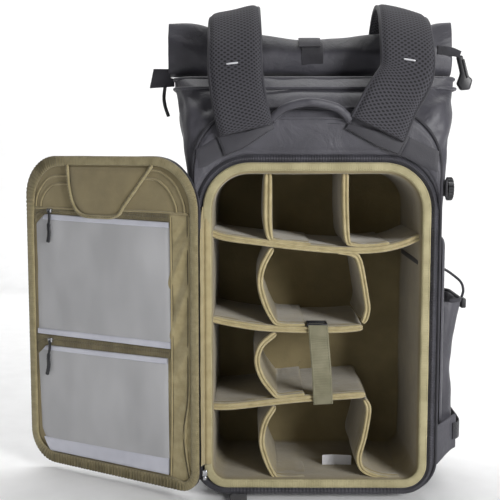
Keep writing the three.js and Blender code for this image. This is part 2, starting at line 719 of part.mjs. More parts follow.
const DIAL = { x: 150.2, y: -74, z: 359, radius: 13.5, deep: 7 };
const dial = new THREE.CylinderGeometry(DIAL.radius, DIAL.radius, DIAL.deep, 24);
dial.rotateZ(Math.PI / 2);
dial.translate(DIAL.x + DIAL.deep / 2, DIAL.y, DIAL.z);
addPart("dial_buckle_right", dial, BLACK_PLASTIC);
const dialTab = toSolid(boxBetween([141, 149.9], [-93.5, -62], [349, 370]));
addPart("dial_tab_right", fromSolid(dialTab.subtract(shellClearance).subtract(toSolid(pipingLoop))), WEB_BLACK);

// Right flank: padded panel, open cloth pocket, its elastic and cord lock

const flankX = 146.6;
function flankSlab(corners, from, to) {
  const place = new THREE.Matrix4().makeBasis(new THREE.Vector3(0, 1, 0), Z_AXIS, X_AXIS);
  return slab(new THREE.Shape(corners), from, to, place);
}
const SIDE_PANEL = { back: -75.5, front: -48, low: 74, high: 304, radius: 13 };
const panelRadii = [SIDE_PANEL.radius, SIDE_PANEL.radius, SIDE_PANEL.radius, SIDE_PANEL.radius];
const panelSides = [SIDE_PANEL.back, SIDE_PANEL.front];
const panelPoints = outline(...panelSides, SIDE_PANEL.low, SIDE_PANEL.high, panelRadii, 4);
const panelBody = toSolid(flankSlab(panelPoints, 140, 152)).subtract(shellClearance);
addPart("side_panel_right", fromSolid(panelBody), SHELL_NYLON);

const POCKET_CLOTH = 2;
const POCKET_ROWS = [
  // z, reach from the flank, back y, front y
  [38, 12, -30, 44],
  [44, 22, -38, 52],
  [90, 24, -42, 56],
  [150, 22, -42, 56],
  [185, 26, -42, 56],
  [222, 33, -40, 54],
];
function pocketRing([z, reach, back, front], inset) {
  const left = flankX + SEAM_GAP + inset;
  const right = flankX + reach - inset;
  const soft = Math.min(reach - 4 - 2 * inset, 16);
  return outline(left, right, back + inset, front - inset, [1, soft, soft, 1], 4)
    .map((point) => new THREE.Vector3(point.x, point.y, z));
}
const pocketOuter = toSolid(skin(POCKET_ROWS.map((row) => pocketRing(row, 0))));
const pocketRoomRows = POCKET_ROWS.map(([z, ...sizes], i) => {
  const lift = i === 0 ? POCKET_CLOTH : 0;
  const over = i === POCKET_ROWS.length - 1 ? 5 : 0;
  return [z + lift + over, ...sizes];
});
const pocketRoom = toSolid(skin(pocketRoomRows.map((row) => pocketRing(row, POCKET_CLOTH))));
addPart("side_pocket_right", fromSolid(pocketOuter.subtract(pocketRoom)), SHELL_NYLON);

const ELASTIC_ROWS = [
  [182, -20, 224.4, 3.5, 3.5, 0],
  [184, -20, 233, 3.5, 3.5, 0],
  [181, -20, 243, 3.5, 3.5, 0],
  [171, -20, 252, 3.5, 3.5, 0],
  [160, -20, 259, 3.5, 3.5, 0],
  [145, -20, 263, 3.5, 3.5, 0],
];
const elasticBody = toSolid(band(ELASTIC_ROWS, 3)).subtract(shellClearance);
addPart("pocket_cord_loop", fromSolid(elasticBody), BLACK_PLASTIC);
const CORD_LOCK = { off: 33.3, wide: 6.7 };
const lockX = [flankX + CORD_LOCK.off, flankX + CORD_LOCK.off + CORD_LOCK.wide];
addPart("pocket_cord_lock", boxBetween(lockX, [-27, -13], [212, 224]), BLACK_PLASTIC);

const BASE_TAB_ROWS = [
  [-89, -80, 1.2, 20, 1.8, 0],
  [-89, -94, 1.2, 20, 1.8, 0],
  [-89, -112, 1.2, 20, 1.8, 0],
];
const baseTab = toSolid(band(BASE_TAB_ROWS, 1)).subtract(shellClearance);
addPart("base_tab", fromSolid(baseTab), WEB_BLACK);

// Door: hinged along the left edge and folded back past flat

const DOOR = { width: 260, low: 8, high: 396, fold: 31, hingeX: -133, hingeY: -107.5 };
const DOOR_RADII = [26, 40, 50, 62];
const doorFold = THREE.MathUtils.degToRad(DOOR.fold);
const doorAcross = new THREE.Vector3(-Math.cos(doorFold), Math.sin(doorFold), 0);
const doorOut = new THREE.Vector3(Math.sin(doorFold), Math.cos(doorFold), 0);
const doorPlace = new THREE.Matrix4().makeBasis(doorAcross, Z_AXIS, doorOut);
doorPlace.setPosition(DOOR.hingeX, DOOR.hingeY, 0);

function doorOutline(shrink, steps = 6) {
  const radii = DOOR_RADII.map((radius) => Math.max(radius - shrink, 2));
  return outline(shrink, DOOR.width - shrink, DOOR.low + shrink, DOOR.high - shrink, radii, steps);
}

const LINING_PAD = 2.5;
const DOOR_BINDING_WIDTH = 11;
addPart("door_lining", slab(new THREE.Shape(doorOutline(2)), 0, LINING_PAD, doorPlace), KHAKI);

// The padded outside is thin beside the hinge and full depth past the corner of the bag
const doorShellStart = LINING_PAD + SEAM_GAP;
const DOOR_SHELL_ROWS = [
  // edge inset, lift
  [0.5, doorShellStart],
  [0, 6],
  [2, 12],
  [8, 16],
  [20, 18],
];
const HINGE_SIDE = { thin: 0.12, from: 8, to: 46 };
const doorShellRings = DOOR_SHELL_ROWS.map(([inset, lift]) => doorOutline(inset).map((point) => {
  const full = THREE.MathUtils.smoothstep(point.x, HINGE_SIDE.from, HINGE_SIDE.to);
  const share = THREE.MathUtils.lerp(HINGE_SIDE.thin, 1, full);
  const deep = doorShellStart + (lift - doorShellStart) * share;
  return new THREE.Vector3(point.x, point.y, deep).applyMatrix4(doorPlace);
}));
addPart("door_shell", skin(doorShellRings), SHELL_NYLON);

const DOOR_BINDING_SECTION = [
  [0, -SEAM_GAP],
  [0, -2.4],
  [-2, -3.6],
  [2 - DOOR_BINDING_WIDTH, -3.6],
  [-DOOR_BINDING_WIDTH, -2.4],
  [-DOOR_BINDING_WIDTH, -SEAM_GAP],
];
addPart("door_binding", edging(doorOutline(0.5, 7), DOOR_BINDING_SECTION, doorPlace), OLIVE_TAPE);

// Corners of the pieces on the door are u, z: u runs from the hinge edge, or back from the free edge
// where it is below zero
function doorPanel(corners, from, to) {
  const points = corners.map(([u, z]) => new THREE.Vector2(u < 0 ? DOOR.width + u : u, z));
  return slab(new THREE.Shape(points), from, to, doorPlace);
}
const FLAP_CORNERS = [
  [64, 383],
  [106, 336],
  [113, 328],
  [124, 325],
  [-97, 325],
  [-86, 329],
  [-78, 339],
  [-73, 356],
  [-70, 383],
];
const FLAP_PAD = 1.6;
const FLAP_SHADOW_GAP = 2.2;
const flapFace = -SEAM_GAP - FLAP_PAD - FLAP_SHADOW_GAP;
addPart("door_flap", doorPanel(FLAP_CORNERS, flapFace, flapFace + FLAP_PAD), KHAKI);

const FILM_PAD = 1.2;
const filmFace = -SEAM_GAP - FILM_PAD;
const DOOR_POCKETS = [
  // name, corners, look
  ["pocket_upper", [[39, 174], [-14, 172], [-14, 312], [-27, 323], [-38, 324], [40, 321]], POCKET_FILM],
  ["pocket_lower", [[43, 23], [-31, 22], [-16, 50], [-13, 146], [-27, 158], [44, 162.5]], POCKET_FILM],
  ["zip_band_upper", [[40, 321.6], [-27, 324.6], [-14, 313], [-12, 327], [-12, 329], [41, 330.5]], OLIVE_TAPE],
  ["zip_band_lower", [[40, 163.2], [-26.6, 158.7], [-13, 147], [-11.5, 171.4], [40, 173.4]], OLIVE_TAPE],
];
DOOR_POCKETS.forEach(([name, corners, look]) => {
  addPart(name, doorPanel(corners, filmFace, -SEAM_GAP), look);
});

const PULL_PAD = 3;
const pullLift = [filmFace - SEAM_GAP - PULL_PAD, filmFace - SEAM_GAP];
const UPPER_PULL = [
  [-36, 329],
  [-35, 312],
  [-33, 292],
  [-34, 288],
  [-39, 288],
  [-41, 292],
  [-40.5, 312],
  [-42, 320],
  [-42, 329],
];
const LOWER_PULL = [
  [-33, 166],
  [-31, 146],
  [-27, 126],
  [-27, 121],
  [-31, 120],
  [-34, 124],
  [-36.5, 146],
  [-39, 156],
  [-39, 166],
];
addPart("zip_pull_upper", doorPanel(UPPER_PULL, ...pullLift), BLACK_PLASTIC);
addPart("zip_pull_lower", doorPanel(LOWER_PULL, ...pullLift), BLACK_PLASTIC);

// Hinge gusset: folded cloth between the light binding and the door edge

const bindingFace = -bindingLift;
const GUSSET = { low: 40, high: 330 };
const gussetRows = [
  // x, y
  [-120.5, bindingFace - SEAM_GAP],
  [-125, bindingFace - 2],
  [-128, bindingFace - SEAM_GAP],
  [-130.2, bindingFace - 4.5],
  [-131.8, bindingFace - 9],
];
const gussetPath = new THREE.CatmullRomCurve3(gussetRows.map(([x, y]) => new THREE.Vector3(x, y, 0)));
const gussetPoints = gussetPath.getPoints(12);
const gussetShape = gussetPoints.map((point) => new THREE.Vector2(point.x, point.y));
const gussetBack = gussetPoints.map((point) => new THREE.Vector2(point.x, point.y - 1)).reverse();
const gusset = new THREE.ExtrudeGeometry(new THREE.Shape(gussetShape.concat(gussetBack)), {
  depth: GUSSET.high - GUSSET.low,
  bevelEnabled: false,
});
gusset.translate(0, 0, GUSSET.low);
addPart("hinge_gusset", gusset, KHAKI);
addPart("hinge_slider", boxBetween([-131, -125], [-104.5, -99], [24, 38]), ZIP_METAL);

export default group;
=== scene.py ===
import json
import math

import bmesh
import bpy
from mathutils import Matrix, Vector, noise
from mathutils.geometry import intersect_point_line

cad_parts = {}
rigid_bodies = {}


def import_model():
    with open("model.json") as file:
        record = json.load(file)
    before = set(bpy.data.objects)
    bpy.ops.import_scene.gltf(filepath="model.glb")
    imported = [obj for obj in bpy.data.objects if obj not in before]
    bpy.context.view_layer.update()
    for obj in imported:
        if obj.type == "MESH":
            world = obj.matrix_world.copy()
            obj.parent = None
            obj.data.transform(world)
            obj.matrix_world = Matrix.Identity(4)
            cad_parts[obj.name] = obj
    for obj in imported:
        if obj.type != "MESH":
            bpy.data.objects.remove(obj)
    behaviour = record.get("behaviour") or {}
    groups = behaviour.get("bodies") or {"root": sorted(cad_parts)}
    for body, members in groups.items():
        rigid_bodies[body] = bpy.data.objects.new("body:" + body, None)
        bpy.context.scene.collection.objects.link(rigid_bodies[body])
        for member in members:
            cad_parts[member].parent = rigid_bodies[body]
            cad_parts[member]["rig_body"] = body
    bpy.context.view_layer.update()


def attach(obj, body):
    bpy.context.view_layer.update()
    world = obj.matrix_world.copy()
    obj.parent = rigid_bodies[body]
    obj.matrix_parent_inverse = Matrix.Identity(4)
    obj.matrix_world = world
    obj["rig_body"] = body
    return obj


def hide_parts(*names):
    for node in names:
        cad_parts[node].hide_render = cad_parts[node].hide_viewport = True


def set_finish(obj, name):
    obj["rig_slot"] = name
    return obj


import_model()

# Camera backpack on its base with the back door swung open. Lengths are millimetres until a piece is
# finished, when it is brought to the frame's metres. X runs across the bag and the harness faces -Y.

scene = bpy.context.scene
MM = 0.001
# The record's material slot that each look belongs to
SLOTS = {
    "coated_nylon": "shell_nylon",
    "rolled_nylon": "shell_nylon",
    "heavy_nylon": "shell_nylon",
    "woven_seam_tape": "dark_tape",
    "zip_tape": "dark_tape",
    "straw_grosgrain": "light_binding",
    "brushed_khaki_lining": "khaki_lining",
    "pale_thread": "khaki_lining",
    "grey_green_webbing_weave": "grey_green_webbing",
    "black_webbing_weave": "black_webbing",
    "moulded_acetal": "black_plastic",
    "perforated_spacer_knit": "air_mesh",
    "reflective_tape": "zip_metal",
    "nickel_plated_zinc": "zip_metal",
    "olive_stretch_tape": "olive_tape",
    "milky_matt_film": "pocket_film",
    "white_welded_tape": "pocket_film",
    "white_satin_label": "white_label",
    "studio_paper": "white_label",
}

# Outer shell
# Coated nylon cut in panels and sewn into a tall bag. It widens towards the rolled collar, where the
# slack cloth falls in creases, and its back is open behind the door.

# z, half width, back y, front y, back corner, front corner, side bulge
BODY_ROWS = [
    (0, 104, -84, 74, 14, 30, 0),
    (3, 116, -89, 80, 14, 34, 0),
    (9, 127, -92, 86, 12, 38, 0),
    (18, 135, -92, 90, 10, 40, 1),
    (34, 141, -92, 93, 10, 42, 1),
    (90, 143, -92, 95, 10, 44, 2),
    (200, 143, -92, 96, 10, 44, 3),
    (320, 143, -92, 94, 10, 42, 3),
    (380, 147, -92, 90, 14, 40, 3),
    (415, 153, -91.5, 84, 22, 38, 3),
    (440, 157, -90, 76, 30, 36, 3),
    (458, 160, -80, 66, 32, 34, 2),
    (475, 164, -64, 52, 28, 30, 1),
    (489, 166, -42, 38, 22, 24, 0),
]
BACK_FACE = {"half": 138, "low": 3, "high": 398, "low_radius": 36, "high_radius": 62}
DOORWAY_INSET = 12.5
BODY_CREASES = [
    # from, to, half width, depth
    ((-160, -60, 482), (-118, -88, 446), 8, 4.5),
    ((-164, -40, 476), (-136, -84, 430), 9, 5),
    ((-158, -60, 452), (-140, -88, 408), 7, 3.5),
    ((-116, -82, 462), (-140, -88, 436), 6, 3.5),
    ((-162, -20, 462), (-152, -70, 420), 8, 3),
    ((160, -58, 480), (122, -86, 446), 9, 4.5),
    ((163, -42, 470), (138, -84, 432), 7, 4.5),
    ((126, -86, 450), (150, -74, 462), 7, -3.5),
    ((158, -50, 448), (142, -84, 404), 8, 4),
    ((162, -10, 458), (150, -66, 414), 8, 3),
    ((-60, -66, 472), (60, -66, 470), 8, 2),
    ((-166, 0, 470), (-158, 40, 430), 9, 3),
    ((164, 4, 468), (156, 40, 426), 9, 3),
    ((-110, 70, 462), (-40, 78, 440), 10, 3),
    ((120, 68, 464), (50, 78, 436), 10, 3),
    ((-146, -30, 300), (-147, 30, 280), 14, 2),
    ((-146, 10, 180), (-147, -40, 150), 16, 2),
]


def unit(value):
    """The value, held between 0 and 1."""
    return max(0, min(1, value))


def row_at(rows, share):
    """Row at a share of the way along a table, on a smooth curve through its rows."""
    place = share * (len(rows) - 1)
    i = min(int(place), len(rows) - 2)
    t = place - i
    picks = rows[max(i - 1, 0)], rows[i], rows[i + 1], rows[min(i + 2, len(rows) - 1)]
    return [
        0.5 * (2 * b + (c - a) * t + (2 * a - 5 * b + 4 * c - d) * t**2 + (3 * b - a - 3 * c + d) * t**3)
        for a, b, c, d in zip(*picks)
    ]


def outline(left, right, low, high, radii, corner=8, sides=(8, 8, 8, 8)):
    """Points round a box with rounded corners, anticlockwise from its lower left corner."""
    ends = [(left, low, 1, 1), (right, low, -1, 1), (right, high, -1, -1), (left, high, 1, -1)]
    arcs = []
    for i, (x, y, in_x, in_y) in enumerate(ends):
        turns = [math.pi + (i + k / corner) * math.pi / 2 for k in range(corner + 1)]
        centre = x + in_x * radii[i], y + in_y * radii[i]
        arcs.append([(centre[0] + radii[i] * math.cos(a), centre[1] + radii[i] * math.sin(a)) for a in turns])
    points = []
    for arc, following, count in zip(arcs, arcs[1:] + arcs[:1], sides):
        (x0, y0), (x1, y1) = arc[-1], following[0]
        points += arc
        points += [(x0 + (x1 - x0) * k / count, y0 + (y1 - y0) * k / count) for k in range(1, count)]
    return points


def face_outline(grow, corner=12, sides=(12, 24, 12, 24)):
    """Outline of the back face in x and z, larger by grow."""
    half = BACK_FACE["half"] + grow
    low, high = BACK_FACE["low_radius"] + grow, BACK_FACE["high_radius"] + grow
    bottom, top = BACK_FACE["low"] - grow, BACK_FACE["high"] + grow
    return outline(-half, half, bottom, top, [low, low, high, high], corner, sides)


def wrap_grid(rings, closed=True, looped=False, capped=False):
    """A grid laid on rings of points, with its UV map in millimetres.

    closed joins each ring's end to its start, looped joins the last ring to the first, and capped fills
    the two ends."""
    columns = len(rings[0]) if closed else len(rings[0]) - 1
    levels = len(rings) if looped else len(rings) - 1
    middle = rings[len(rings) // 2]
    around = sum((a - b).length for a, b in zip(middle, middle[1:])) or 1
    along = sum((a[0] - b[0]).length for a, b in zip(rings, rings[1:])) or 1
    mesh = bmesh.new()
    layer = mesh.loops.layers.uv.new("mm")
    bmesh.ops.create_grid(mesh, x_segments=columns, y_segments=levels, size=0.5)
    for face in mesh.faces:
        for corner in face.loops:
            u, v = corner.vert.co.x + 0.5, corner.vert.co.y + 0.5
            corner[layer].uv = (u * around, v * along)
    for vertex in mesh.verts:
        i = round((vertex.co.x + 0.5) * columns) % len(rings[0])
        j = round((vertex.co.y + 0.5) * levels) % len(rings)
        vertex.co = rings[j][i]
    if closed or looped:
        bmesh.ops.remove_doubles(mesh, verts=mesh.verts, dist=0.001)
    if capped:
        bmesh.ops.holes_fill(mesh, edges=[e for e in mesh.edges if e.is_boundary], sides=0)
    bmesh.ops.recalc_face_normals(mesh, faces=mesh.faces)
    return mesh


def push(mesh, amount):
    """Moves each point along its normal by amount(place) millimetres."""
    mesh.normal_update()
    moves = [vertex.normal * amount(vertex.co) for vertex in mesh.verts]
    for vertex, move in zip(mesh.verts, moves):
        vertex.co += move


def crease(mesh, folds):
    """Sinks folds into a mesh along its normals; a depth below zero stands proud."""

    def sunk(place):
        move = 0
        for start, end, width, depth in folds:
            nearest, share = intersect_point_line(place, Vector(start), Vector(end))
            over = max(-share, share - 1, 0) * (Vector(end) - Vector(start)).length
            off = (place - nearest).length
            move -= depth * math.exp(-((off / width) ** 2) - (over / (2 * width)) ** 2)
        return move

    push(mesh, sunk)


def rumple(mesh, size, depth, where=lambda place: 1):
    """Lets cloth stand in and out softly, with hollows of about size, by up to depth."""
    push(mesh, lambda place: noise.noise(place / size) * depth * where(place))


def linear(hex_code):
    """Linear colour of an sRGB hex code."""
    parts = [int(hex_code[i : i + 2], 16) / 255 for i in (1, 3, 5)]
    return [c / 12.92 if c <= 0.04045 else ((c + 0.055) / 1.055) ** 2.4 for c in parts] + [1]


def add_node(material, kind, inputs, settings=None):
    """Adds a node with its settings, and fills its inputs with values or links."""
    node = material.node_tree.nodes.new(kind)
    for name, value in (settings or {}).items():
        setattr(node, name, value)
    for name, value in inputs.items():
        if isinstance(value, bpy.types.NodeSocket):
            material.node_tree.links.new(value, node.inputs[name])
        else:
            node.inputs[name].default_value = value
    return node


def shader_of(material):
    return material.node_tree.nodes["Principled BSDF"]


def new_material(name, roughness, sheen=0, metallic=0):
    """A material with plain values, whose colour and relief are linked later."""
    material = bpy.data.materials.new(name)
    material.use_nodes = True
    inputs = shader_of(material).inputs
    inputs["Roughness"].default_value = roughness
    inputs["Sheen Weight"].default_value = sheen
    inputs["Metallic"].default_value = metallic
    return material


def object_place(material):
    """Place on the object, which most patterns are laid out by."""
    return add_node(material, "ShaderNodeTexCoord", {}).outputs["Object"]


def cloth_place(material):
    """Place along and across the cloth in millimetres, from its UV map."""
    return add_node(material, "ShaderNodeUVMap", {}, {"uv_map": "mm"}).outputs["UV"]


def clouds(material, place, size, **inputs):
    """Grey noise in patches of size millimetres."""
    inputs = {"Vector": place, "Scale": 1 / (size * MM), **inputs}
    return add_node(material, "ShaderNodeTexNoise", inputs).outputs["Fac"]


def two_tones(material, grey, low_at, low, high_at, high):
    """Colour that goes from low to high between two values of a grey one."""
    ramp = add_node(material, "ShaderNodeValToRGB", {"Fac": grey})
    for i, position, tone in ((0, low_at, low), (1, high_at, high)):
        ramp.color_ramp.elements[i].position = position
        ramp.color_ramp.elements[i].color = linear(tone)
    return ramp.outputs["Color"]


def mottled(material, place, size, low, high, detail=3):
    """Colour that drifts between two tones over patches of size millimetres."""
    return two_tones(material, clouds(material, place, size, Detail=detail), 0.35, low, 0.68, high)


def link_colour(material, tone):
    material.node_tree.links.new(tone, shader_of(material).inputs["Base Color"])


def link_relief(material, height, strength, depth):
    """Bump of depth millimetres, laid over the bump that the material already has."""
    normal = shader_of(material).inputs["Normal"]
    inputs = {"Height": height, "Strength": strength, "Distance": depth * MM}
    if normal.links:
        inputs["Normal"] = normal.links[0].from_socket
    bump = add_node(material, "ShaderNodeBump", inputs)
    material.node_tree.links.new(bump.outputs["Normal"], normal)


def cloth_material(name, low, high, roughness, sheen, grain, bump, crumple=0, crumple_size=30):
    """Woven or knitted cloth: two tones drift over it, its threads give a fine bump and its slack a soft
    one. grain is the thread spacing in millimetres, drawn coarser than real so that it shows."""
    material = new_material(name, roughness, sheen)
    place = object_place(material)
    link_colour(material, mottled(material, place, 40, low, high))
    link_relief(material, clouds(material, place, grain, Detail=1.5), bump, grain / 2)
    if crumple:
        folds = clouds(material, place, crumple_size, Detail=4, Roughness=0.55, Distortion=0.8)
        link_relief(material, folds, crumple, crumple_size / 6)
    return material


def second_tone(material, low, high):
    """Blends a material towards other tones where the vertex attribute edge says so."""
    first = shader_of(material).inputs["Base Color"].links[0].from_socket
    second = mottled(material, object_place(material), 9, low, high)
    edge = add_node(material, "ShaderNodeAttribute", {}, {"attribute_name": "edge"}).outputs["Fac"]
    tone = add_node(material, "ShaderNodeMixRGB", {"Fac": edge, "Color1": first, "Color2": second})
    link_colour(material, tone.outputs["Color"])
    return material


def soften(piece, levels):
    """Adds the subdivision that smooths a piece."""
    finer = piece.modifiers.new("smooth cloth", "SUBSURF")
    finer.levels = levels
    finer.render_levels = levels


# Faces with more corners than this are split, as subdivision makes spikes and slow meshes of them
WIDEST_FACE = 12


def finish_piece(mesh, name, material, nodes=(), subdivide=0, thickness=0, offset=-1, sharp=None):
    """Turns a mesh in millimetres into a finished object that rides on the bag."""
    wide = [face for face in mesh.faces if len(face.verts) > WIDEST_FACE]
    bmesh.ops.triangulate(mesh, faces=wide, quad_method="BEAUTY", ngon_method="BEAUTY")
    bmesh.ops.scale(mesh, vec=(MM, MM, MM), verts=mesh.verts)
    if sharp:
        for edge in mesh.edges:
            edge.smooth = len(edge.link_faces) < 2 or edge.calc_face_angle(0) < math.radians(sharp)
    data = bpy.data.meshes.new(name)
    mesh.to_mesh(data)
    mesh.free()
    data.polygons.foreach_set("use_smooth", [True] * len(data.polygons))
    data.materials.append(material)
    piece = bpy.data.objects.new(name, data)
    scene.collection.objects.link(piece)
    if thickness:
        wall = piece.modifiers.new("cloth thickness", "SOLIDIFY")
        wall.thickness = thickness * MM
        wall.offset = offset
    if subdivide:
        soften(piece, subdivide)
    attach(piece, "root")
    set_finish(piece, SLOTS[material.name])
    if nodes:
        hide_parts(*nodes)
    return piece


# Coated nylon, calendered: a tight grey-violet weave with a soft broad sheen, paler where it is creased.
NYLON_LOOK = ("#38373e", "#45444b", 0.5, 0.12, 1.1, 0.4, 0.4, 34)
COATED_NYLON = cloth_material("coated_nylon", *NYLON_LOOK)
# The same cloth, darker: painted shade where it stands for a seam fold or channel, and also the dark tape
# of the pipings, bindings, hem and elastic.
SEAM_TAPE = cloth_material("woven_seam_tape", "#1f1e24", "#2c2b32", 0.7, 0.1, 1.0, 0.4)

BODY_LEVELS = 120
# Steps of a ring of the body round each corner, and along its back, right, front and left side
BODY_ARC = 8
BODY_SIDES = (40, 22, 26, 22)


def body_ring(row):
    z, half, back, front, near, far, bulge = row
    points = outline(-half, half, back, front, [near, near, far, far], BODY_ARC, BODY_SIDES)
    depth = front - back
    ring = []
    for x, y in points:
        swell = bulge * math.sin(math.pi * (y - back) / depth) if abs(x) > half - 1 else 0
        ring.append(Vector((x + math.copysign(swell, x), y, z)))
    return ring


body_rings = [body_ring(row_at(BODY_ROWS, j / BODY_LEVELS)) for j in range(BODY_LEVELS + 1)]
body = wrap_grid(body_rings, capped=True)
doorway = face_outline(-DOORWAY_INSET)


def inside(x, z, points):
    """Whether x, z lies inside a convex outline that runs anticlockwise."""
    pairs = zip(points, points[1:] + points[:1])
    return all((b[0] - a[0]) * (z - a[1]) - (b[1] - a[1]) * (x - a[0]) > 0 for a, b in pairs)


cut = []
for face in body.faces:
    middle = face.calc_center_median()
    if middle.y < -80 and inside(middle.x, middle.z, doorway):
        cut.append(face)
bmesh.ops.delete(body, geom=cut, context="FACES")
crease(body, BODY_CREASES)
rumple(body, 38, 2.2, lambda p: unit((p.z - 380) / 60) * (1 if p.z < 486 else 0))
rumple(body, 70, 1.6, lambda p: 1 if p.y > -86 and 30 < p.z < 480 else 0)
finish_piece(body, "shell_cloth", COATED_NYLON, ["outer_shell"], thickness=1.2)

# Seams of the outer shell
# Felled seams where the panels meet: two across the slope under the collar, and a piped one down
# each far corner. Each is a narrow fold stitched flat, so it stands a little proud.

LIFT = Vector((0, -1, 0))


def smooth_path(points, count):
    """Points evenly shared along a smooth curve through a short list."""
    return [Vector(row_at(points, i / count)) for i in range(count + 1)]


def sweep(path, section, facing=LIFT, closed=False):
    """Rings that carry a section of (across, out) along a path, with out turned towards facing."""
    rings = []
    for i, point in enumerate(path):
        before = path[i - 1] if i or closed else point
        after = path[(i + 1) % len(path)] if i + 1 < len(path) or closed else point
        along = (after - before).normalized()
        across = along.cross(facing).normalized()
        out = across.cross(along)
        rings.append([point + across * a + out * b for a, b in section])
    return rings


def round_section(across, out, count=10, centre=(0, 0), power=2.0):
    """Section of a tube or a flat band with round edges; a higher power makes it squarer."""
    points = []
    for i in range(count):
        turn = 2 * math.pi * i / count
        x, y = math.cos(turn), math.sin(turn)
        x = math.copysign(abs(x) ** (2 / power), x)
        y = math.copysign(abs(y) ** (2 / power), y)
        points.append((centre[0] + across * x, centre[1] + out * y))
    return points


def swept_piece(name, path, section, material, nodes=(), facing=LIFT, closed=False):
    """A finished seam, cord or binding: a section carried along a path."""
    mesh = wrap_grid(sweep(path, section, facing, closed), looped=closed, capped=not closed)
    return finish_piece(mesh, name, material, nodes, subdivide=1)


def stitches(name, path, length, gap, radius, material):
    """A row of sewn stitches along a path, as one piece of short round-ended threads."""
    mesh = bmesh.new()
    step = (path[1] - path[0]).length
    every = max(round((length + gap) / step), 1)
    held = max(round(length / step), 1)
    for i in range(0, len(path) - held, every):
        start, end = path[i], path[i + held]
        thread = bmesh.ops.create_cone(
            mesh, cap_ends=True, segments=6, radius1=radius, radius2=radius, depth=(end - start).length
        )
        turn = (end - start).to_track_quat("Z", "Y").to_matrix().to_4x4()
        bmesh.ops.rotate(mesh, verts=thread["verts"], cent=(0, 0, 0), matrix=turn)
        bmesh.ops.translate(mesh, verts=thread["verts"], vec=(start + end) / 2)
    finish_piece(mesh, name, material)


def body_surface(z):
    """The outer shell's ring at a height."""
    low = [i for i, row in enumerate(BODY_ROWS) if row[0] <= z][-1]
    low = min(low, len(BODY_ROWS) - 2)
    step = (z - BODY_ROWS[low][0]) / (BODY_ROWS[low + 1][0] - BODY_ROWS[low][0])
    ring = body_ring(row_at(BODY_ROWS, (low + step) / (len(BODY_ROWS) - 1)))
    for point in ring:
        point.z = z
    return ring


for name, height, proud in (("collar_seam_upper", 486, 1.6), ("collar_seam_lower", 474, 1.9)):
    path = [point + Vector((point.x, point.y, 0)).normalized() * 0.4 for point in body_surface(height)]
    section = round_section(proud, 2.2, 8)
    swept_piece(name, path, section, COATED_NYLON, facing=Vector((0, 0, 1)), closed=True)
for name, corner, side in (("far_corner_seam_left", 3, -1), ("far_corner_seam_right", 2, 1)):
    middle = sum(BODY_ARC + count for count in BODY_SIDES[:corner]) + BODY_ARC // 2
    path = [body_surface(z)[middle] for z in range(34, 474, 8)]
    swept_piece(name, path, round_section(1.4, 1.4, 8), SEAM_TAPE, facing=Vector((side, 1, 0)))

# Back face: zip track, body piping and light edging
# A coil zip on dark woven tape runs round the opening, a cord covered in tape pipes the edge of the
# panel, and a folded light tape with fine ribs binds the lining to the opening.

TRACK_Y = -92.3
PIPING_RADIUS = 1.9
YOKE_TOP = 448
YOKE_RADIUS = 64


def ribbed_tape(name, low, high, roughness, rib, bump, sheen=0.2):
    """Narrow woven tape: its ribs cross it, so they follow the UV map's length."""
    material = new_material(name, roughness, sheen)
    link_colour(material, mottled(material, object_place(material), 18, low, high))
    # Ribs a bit coarser than real ones, so that they show
    scale = math.pi / (10 * rib)
    ribs = add_node(
        material, "ShaderNodeTexWave",
        {"Vector": cloth_place(material), "Scale": scale, "Distortion": 0.6, "Detail": 1.0},
        {"bands_direction": "Y"},
    )
    link_relief(material, ribs.outputs["Fac"], bump, rib / 3)
    return material


# Woven zip tape with a nylon coil: matt near-black, finely ribbed across.
ZIP_TAPE = ribbed_tape("zip_tape", "#232229", "#33323a", 0.62, 2.4, 0.5)
# Folded grosgrain tape in a light straw colour; its ribs break the highlight.
STRAW_TAPE = ribbed_tape("straw_grosgrain", "#938b69", "#a69d7a", 0.75, 1.6, 0.3, 0.2)


def on_back(points, y=TRACK_Y):
    return [Vector((x, y, z)) for x, z in points]


TRACK_HALF = [(-4, 0), (-4, 1.2), (-2.2, 1.6), (-1.6, 3.1)]
TRACK_SECTION = [*TRACK_HALF, (0, 3.6), *((-across, out) for across, out in reversed(TRACK_HALF))]
track = wrap_grid(sweep(on_back(face_outline(-4)), TRACK_SECTION, closed=True), closed=False, looped=True)
finish_piece(track, "zip_track_tape", ZIP_TAPE, ["zip_track"], subdivide=1)

binding_path = on_back(face_outline(-13.5))
rings = []
for i, point in enumerate(binding_path):
    wave = 0.35 * noise.noise(point / 22) + 0.15 * noise.noise(point / 6)
    section = round_section(5.1 + wave, 2.5 + wave, 20, (0, 2.5), 2.8)
    rings += sweep([binding_path[i - 1], point, binding_path[(i + 1) % len(binding_path)]], section)[1:2]
finish_piece(wrap_grid(rings, looped=True), "opening_edging", STRAW_TAPE, ["opening_binding"], subdivide=1)
for name, inset in (("edging_stitches_outer", 10.2), ("edging_stitches_inner", 16.6)):
    path = on_back(face_outline(-inset, 24, (130, 120, 130, 120)), TRACK_Y - 4.75)
    stitches(name, path, 2.6, 1.4, 0.28, STRAW_TAPE)

piping_out = BACK_FACE["half"] + 0.3 + PIPING_RADIUS
arch = outline(
    -piping_out, piping_out, BACK_FACE["low"] + 3.4, YOKE_TOP + 2.2,
    [38, 38, YOKE_RADIUS + 2.2, YOKE_RADIUS + 2.2], 14, (16, 36, 16, 36),
)
piping_path = on_back(arch, TRACK_Y - PIPING_RADIUS + 0.6)
cord_section = round_section(PIPING_RADIUS, PIPING_RADIUS, 12)
swept_piece("panel_piping", piping_path, cord_section, SEAM_TAPE, ["body_piping"], closed=True)

# Yoke panel
# A padded nylon panel arches over the opening between the piping and the zip. It is sewn down round its
# edge, and one raised seam crosses it between the strap bases.

YOKE_FOOT = 340
YOKE_STEPS = 26


